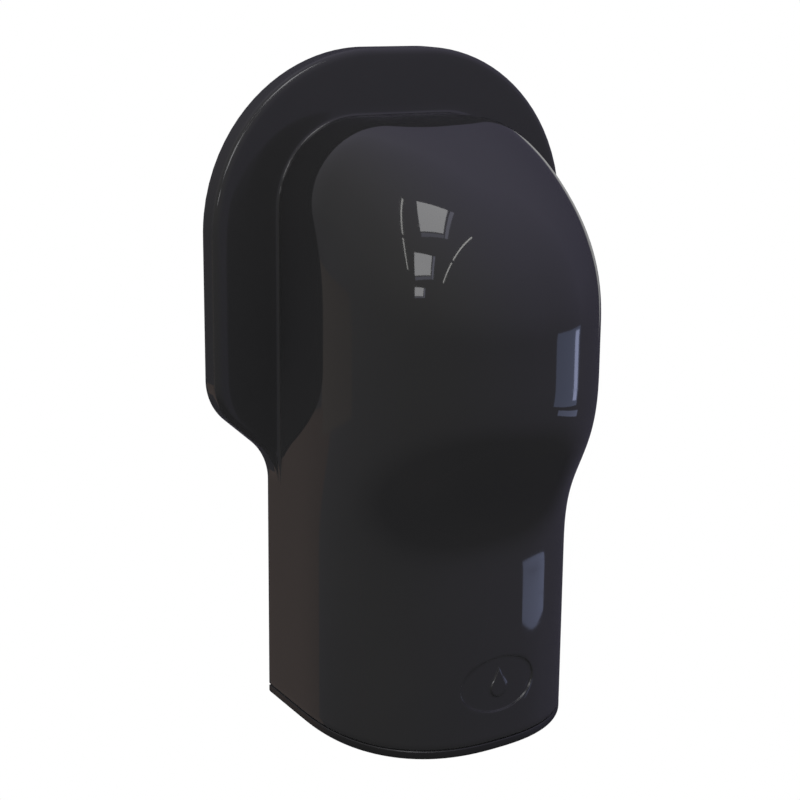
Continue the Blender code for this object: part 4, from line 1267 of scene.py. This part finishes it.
def make_skylight(name, centre, across, down):
    """A skylight with a deep reveal: white glass, and bluish sides to its right and below."""
    centre, across, down = Vector(centre), Vector(across), Vector(down)
    for part, right, low, width, height, colour in (
        ("glass", -0.08, -0.08, 0.84, 0.84, (4.3, 4.3, 4.4)),
        ("side", 0.45, 0.0, 0.1, 1.0, (1.5, 1.5, 1.9)),
        ("sill", -0.06, 0.44, 0.86, 0.12, (1.0, 1.0, 1.25)),
    ):
        panel(f"{name}_{part}", centre + across * right + down * low, across * width, down * height, colour)


def make_panels():
    """Skylights in a row along the ceiling, strip lights beside them, and a tall window."""
    for name, centre, across, down in (
        ("skylight_near", (-0.63, -0.79, 2.79), (1.15, -0.39, 0.16), (-1.1, -0.58, -0.43)),
        ("skylight_middle", (-2.34, -1.09, 1.55), (0.55, -0.67, 0.38), (-0.56, -0.03, -0.86)),
        ("skylight_far", (-2.86, -0.91, 0.62), (0.16, -0.43, 0.17), (-0.09, 0.06, -0.33)),
    ):
        make_skylight(name, centre, across, down)
    for name, centre, across, height, colour in (
        ("window", (2.43, -1.71, -0.64), (0.77, 1.16, 0.0), 0.68, (0.6, 0.7, 1.15)),
        ("window_sash", (2.66, -1.3, -0.62), (0.12, 0.24, 0.0), 0.5, (2.6, 2.9, 4.4)),
        ("window_lower", (2.42, -1.43, -1.105), (0.61, 1.11, 0.0), 0.15, (0.75, 0.85, 1.35)),
        ("warm_wall", (-1.45, 2.42, -1.4), (1.03, 0.62, 0.0), 1.2, (0.2, 0.15, 0.13)),
        ("warm_wall_upper", (-2.05, 1.95, -0.62), (0.6, 0.6, 0.0), 0.52, (0.21, 0.18, 0.16)),
        ("back_light", (2.17, 1.87, 0.09), (0.95, -0.93, -0.72), 0.75, (0.5, 0.5, 0.5)),
    ):
        panel(name, centre, across, (0.0, 0.0, -height), colour)
    for name, start, end in (
        ("strip_left", (-1.12, -0.12, 2.86), (-2.8, -0.5, 1.1)),
        ("strip_right", (0.52, -1.28, 2.77), (-2.1, -1.8, 1.38)),
    ):
        first, last = Vector(start), Vector(end)
        run = last - first
        side = run.cross((first + last) / 2).normalized() * 0.03
        for part, low, high in (("near", 0.0, 0.55), ("far", 0.6, 1.0)):
            panel(f"{name}_{part}", first + run * (low + high) / 2, side, run * (high - low), (6.0, 6.0, 5.8))


# ---------------------------------------------------------------- assembly


def build():
    finishes = make_finishes()

    def add(make, *rest):
        """Makes a piece from its maker's own values and its finish, and places it."""
        *values, body, finish_slot, nodes = rest
        return placed(make(*values, finishes[finish_slot]), body, finish_slot, *nodes.split())

    # the gloss shell doesn't shade its own corners, as under a light tent
    add(make_hood, "hood", "hood_gloss", "housing_shell").visible_diffuse = False
    add(make_hook_bar, "hood", "hood_gloss", "")
    add(make_cam_ledge, "hood", "hood_gloss", "")
    add(make_base_plate, "chassis", "base_plastic", "base_plate")
    sides = tuple(zip(("left", "right"), BASE_SCREWS, CRADLE_SCREWS))
    for side, centre, _ in sides:
        add(make_base_washer, f"counterbore_floor_{side}", centre, "chassis", "base_plastic", "")
    for side, centre, _ in sides:
        add(make_base_screw, f"base_fixing_{side}", centre, "chassis", "steel", f"base_screw_{side}")
    add(make_palm_button, "pump_head", "button_plastic", "palm_button")
    add(make_nozzle, "pump_head", "silicone", "nozzle_tip")
    add(make_lock_barrel, "chassis", "lock_chrome", "lock_barrel")
    add(make_lock_nut, "chassis", "lock_chrome", "lock_nut")
    add(make_lock_core, "lock", "lock_brass", "lock_core")
    add(make_lock_cam, "lock", "steel", "lock_cam")
    add(make_cam_screw, "lock", "steel", "cam_screw")
    add(make_wall_plate, "chassis", "chassis_plastic", "wall_plate")
    add(make_cradle, "chassis", "chassis_plastic", "bottle_cradle")
    for side, _, place in sides:
        add(make_wall_side_screw, f"cradle_fixing_{side}", place, "chassis", "steel", f"cradle_screw_{side}")
    add(make_clip, "chassis", "steel", "bottle_clip")
    add(make_wall_side_screw, "clip_fixing", CLIP_SCREW, "chassis", "steel", "clip_screw")
    add(make_bottle, "chassis", "bottle_plastic", "refill_bottle")
    add(make_closure, "chassis", "pump_plastic", "bottle_closure")
    profiles = pump_profiles()
    for name, body, finish_slot, node in (
        ("seal_ring", "chassis", "rubber", "neck_gasket"),
        ("pump_barrel", "chassis", "pump_plastic", "pump_cylinder"),
        ("check_ball", "chassis", "steel", "inlet_ball"),
        ("ball_cage", "chassis", "pump_plastic", "ball_retainer"),
        ("guide_bush", "chassis", "pump_plastic", "stem_guide"),
        ("pump_rod", "pump_head", "pump_plastic", "piston_stem"),
        ("cup_seal", "pump_head", "rubber", "piston_seal"),
    ):
        add(turned, name, profiles[name], (0.0, PUMP_Y), body, finish_slot, node)
    spring = add(make_spring, "chassis", "steel", "return_spring")
    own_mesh(spring)


build()
# a plain pale floor far below, which the studio's light passes through
panel("stage_floor", (0.0, 0.0, -1.0), (400.0, 0.0, 0.0), (0.0, 400.0, 0.0), WHITE, "glossy")
make_room()
make_panels()
make_camera()
bpy.context.scene.view_settings.view_transform = "Standard"
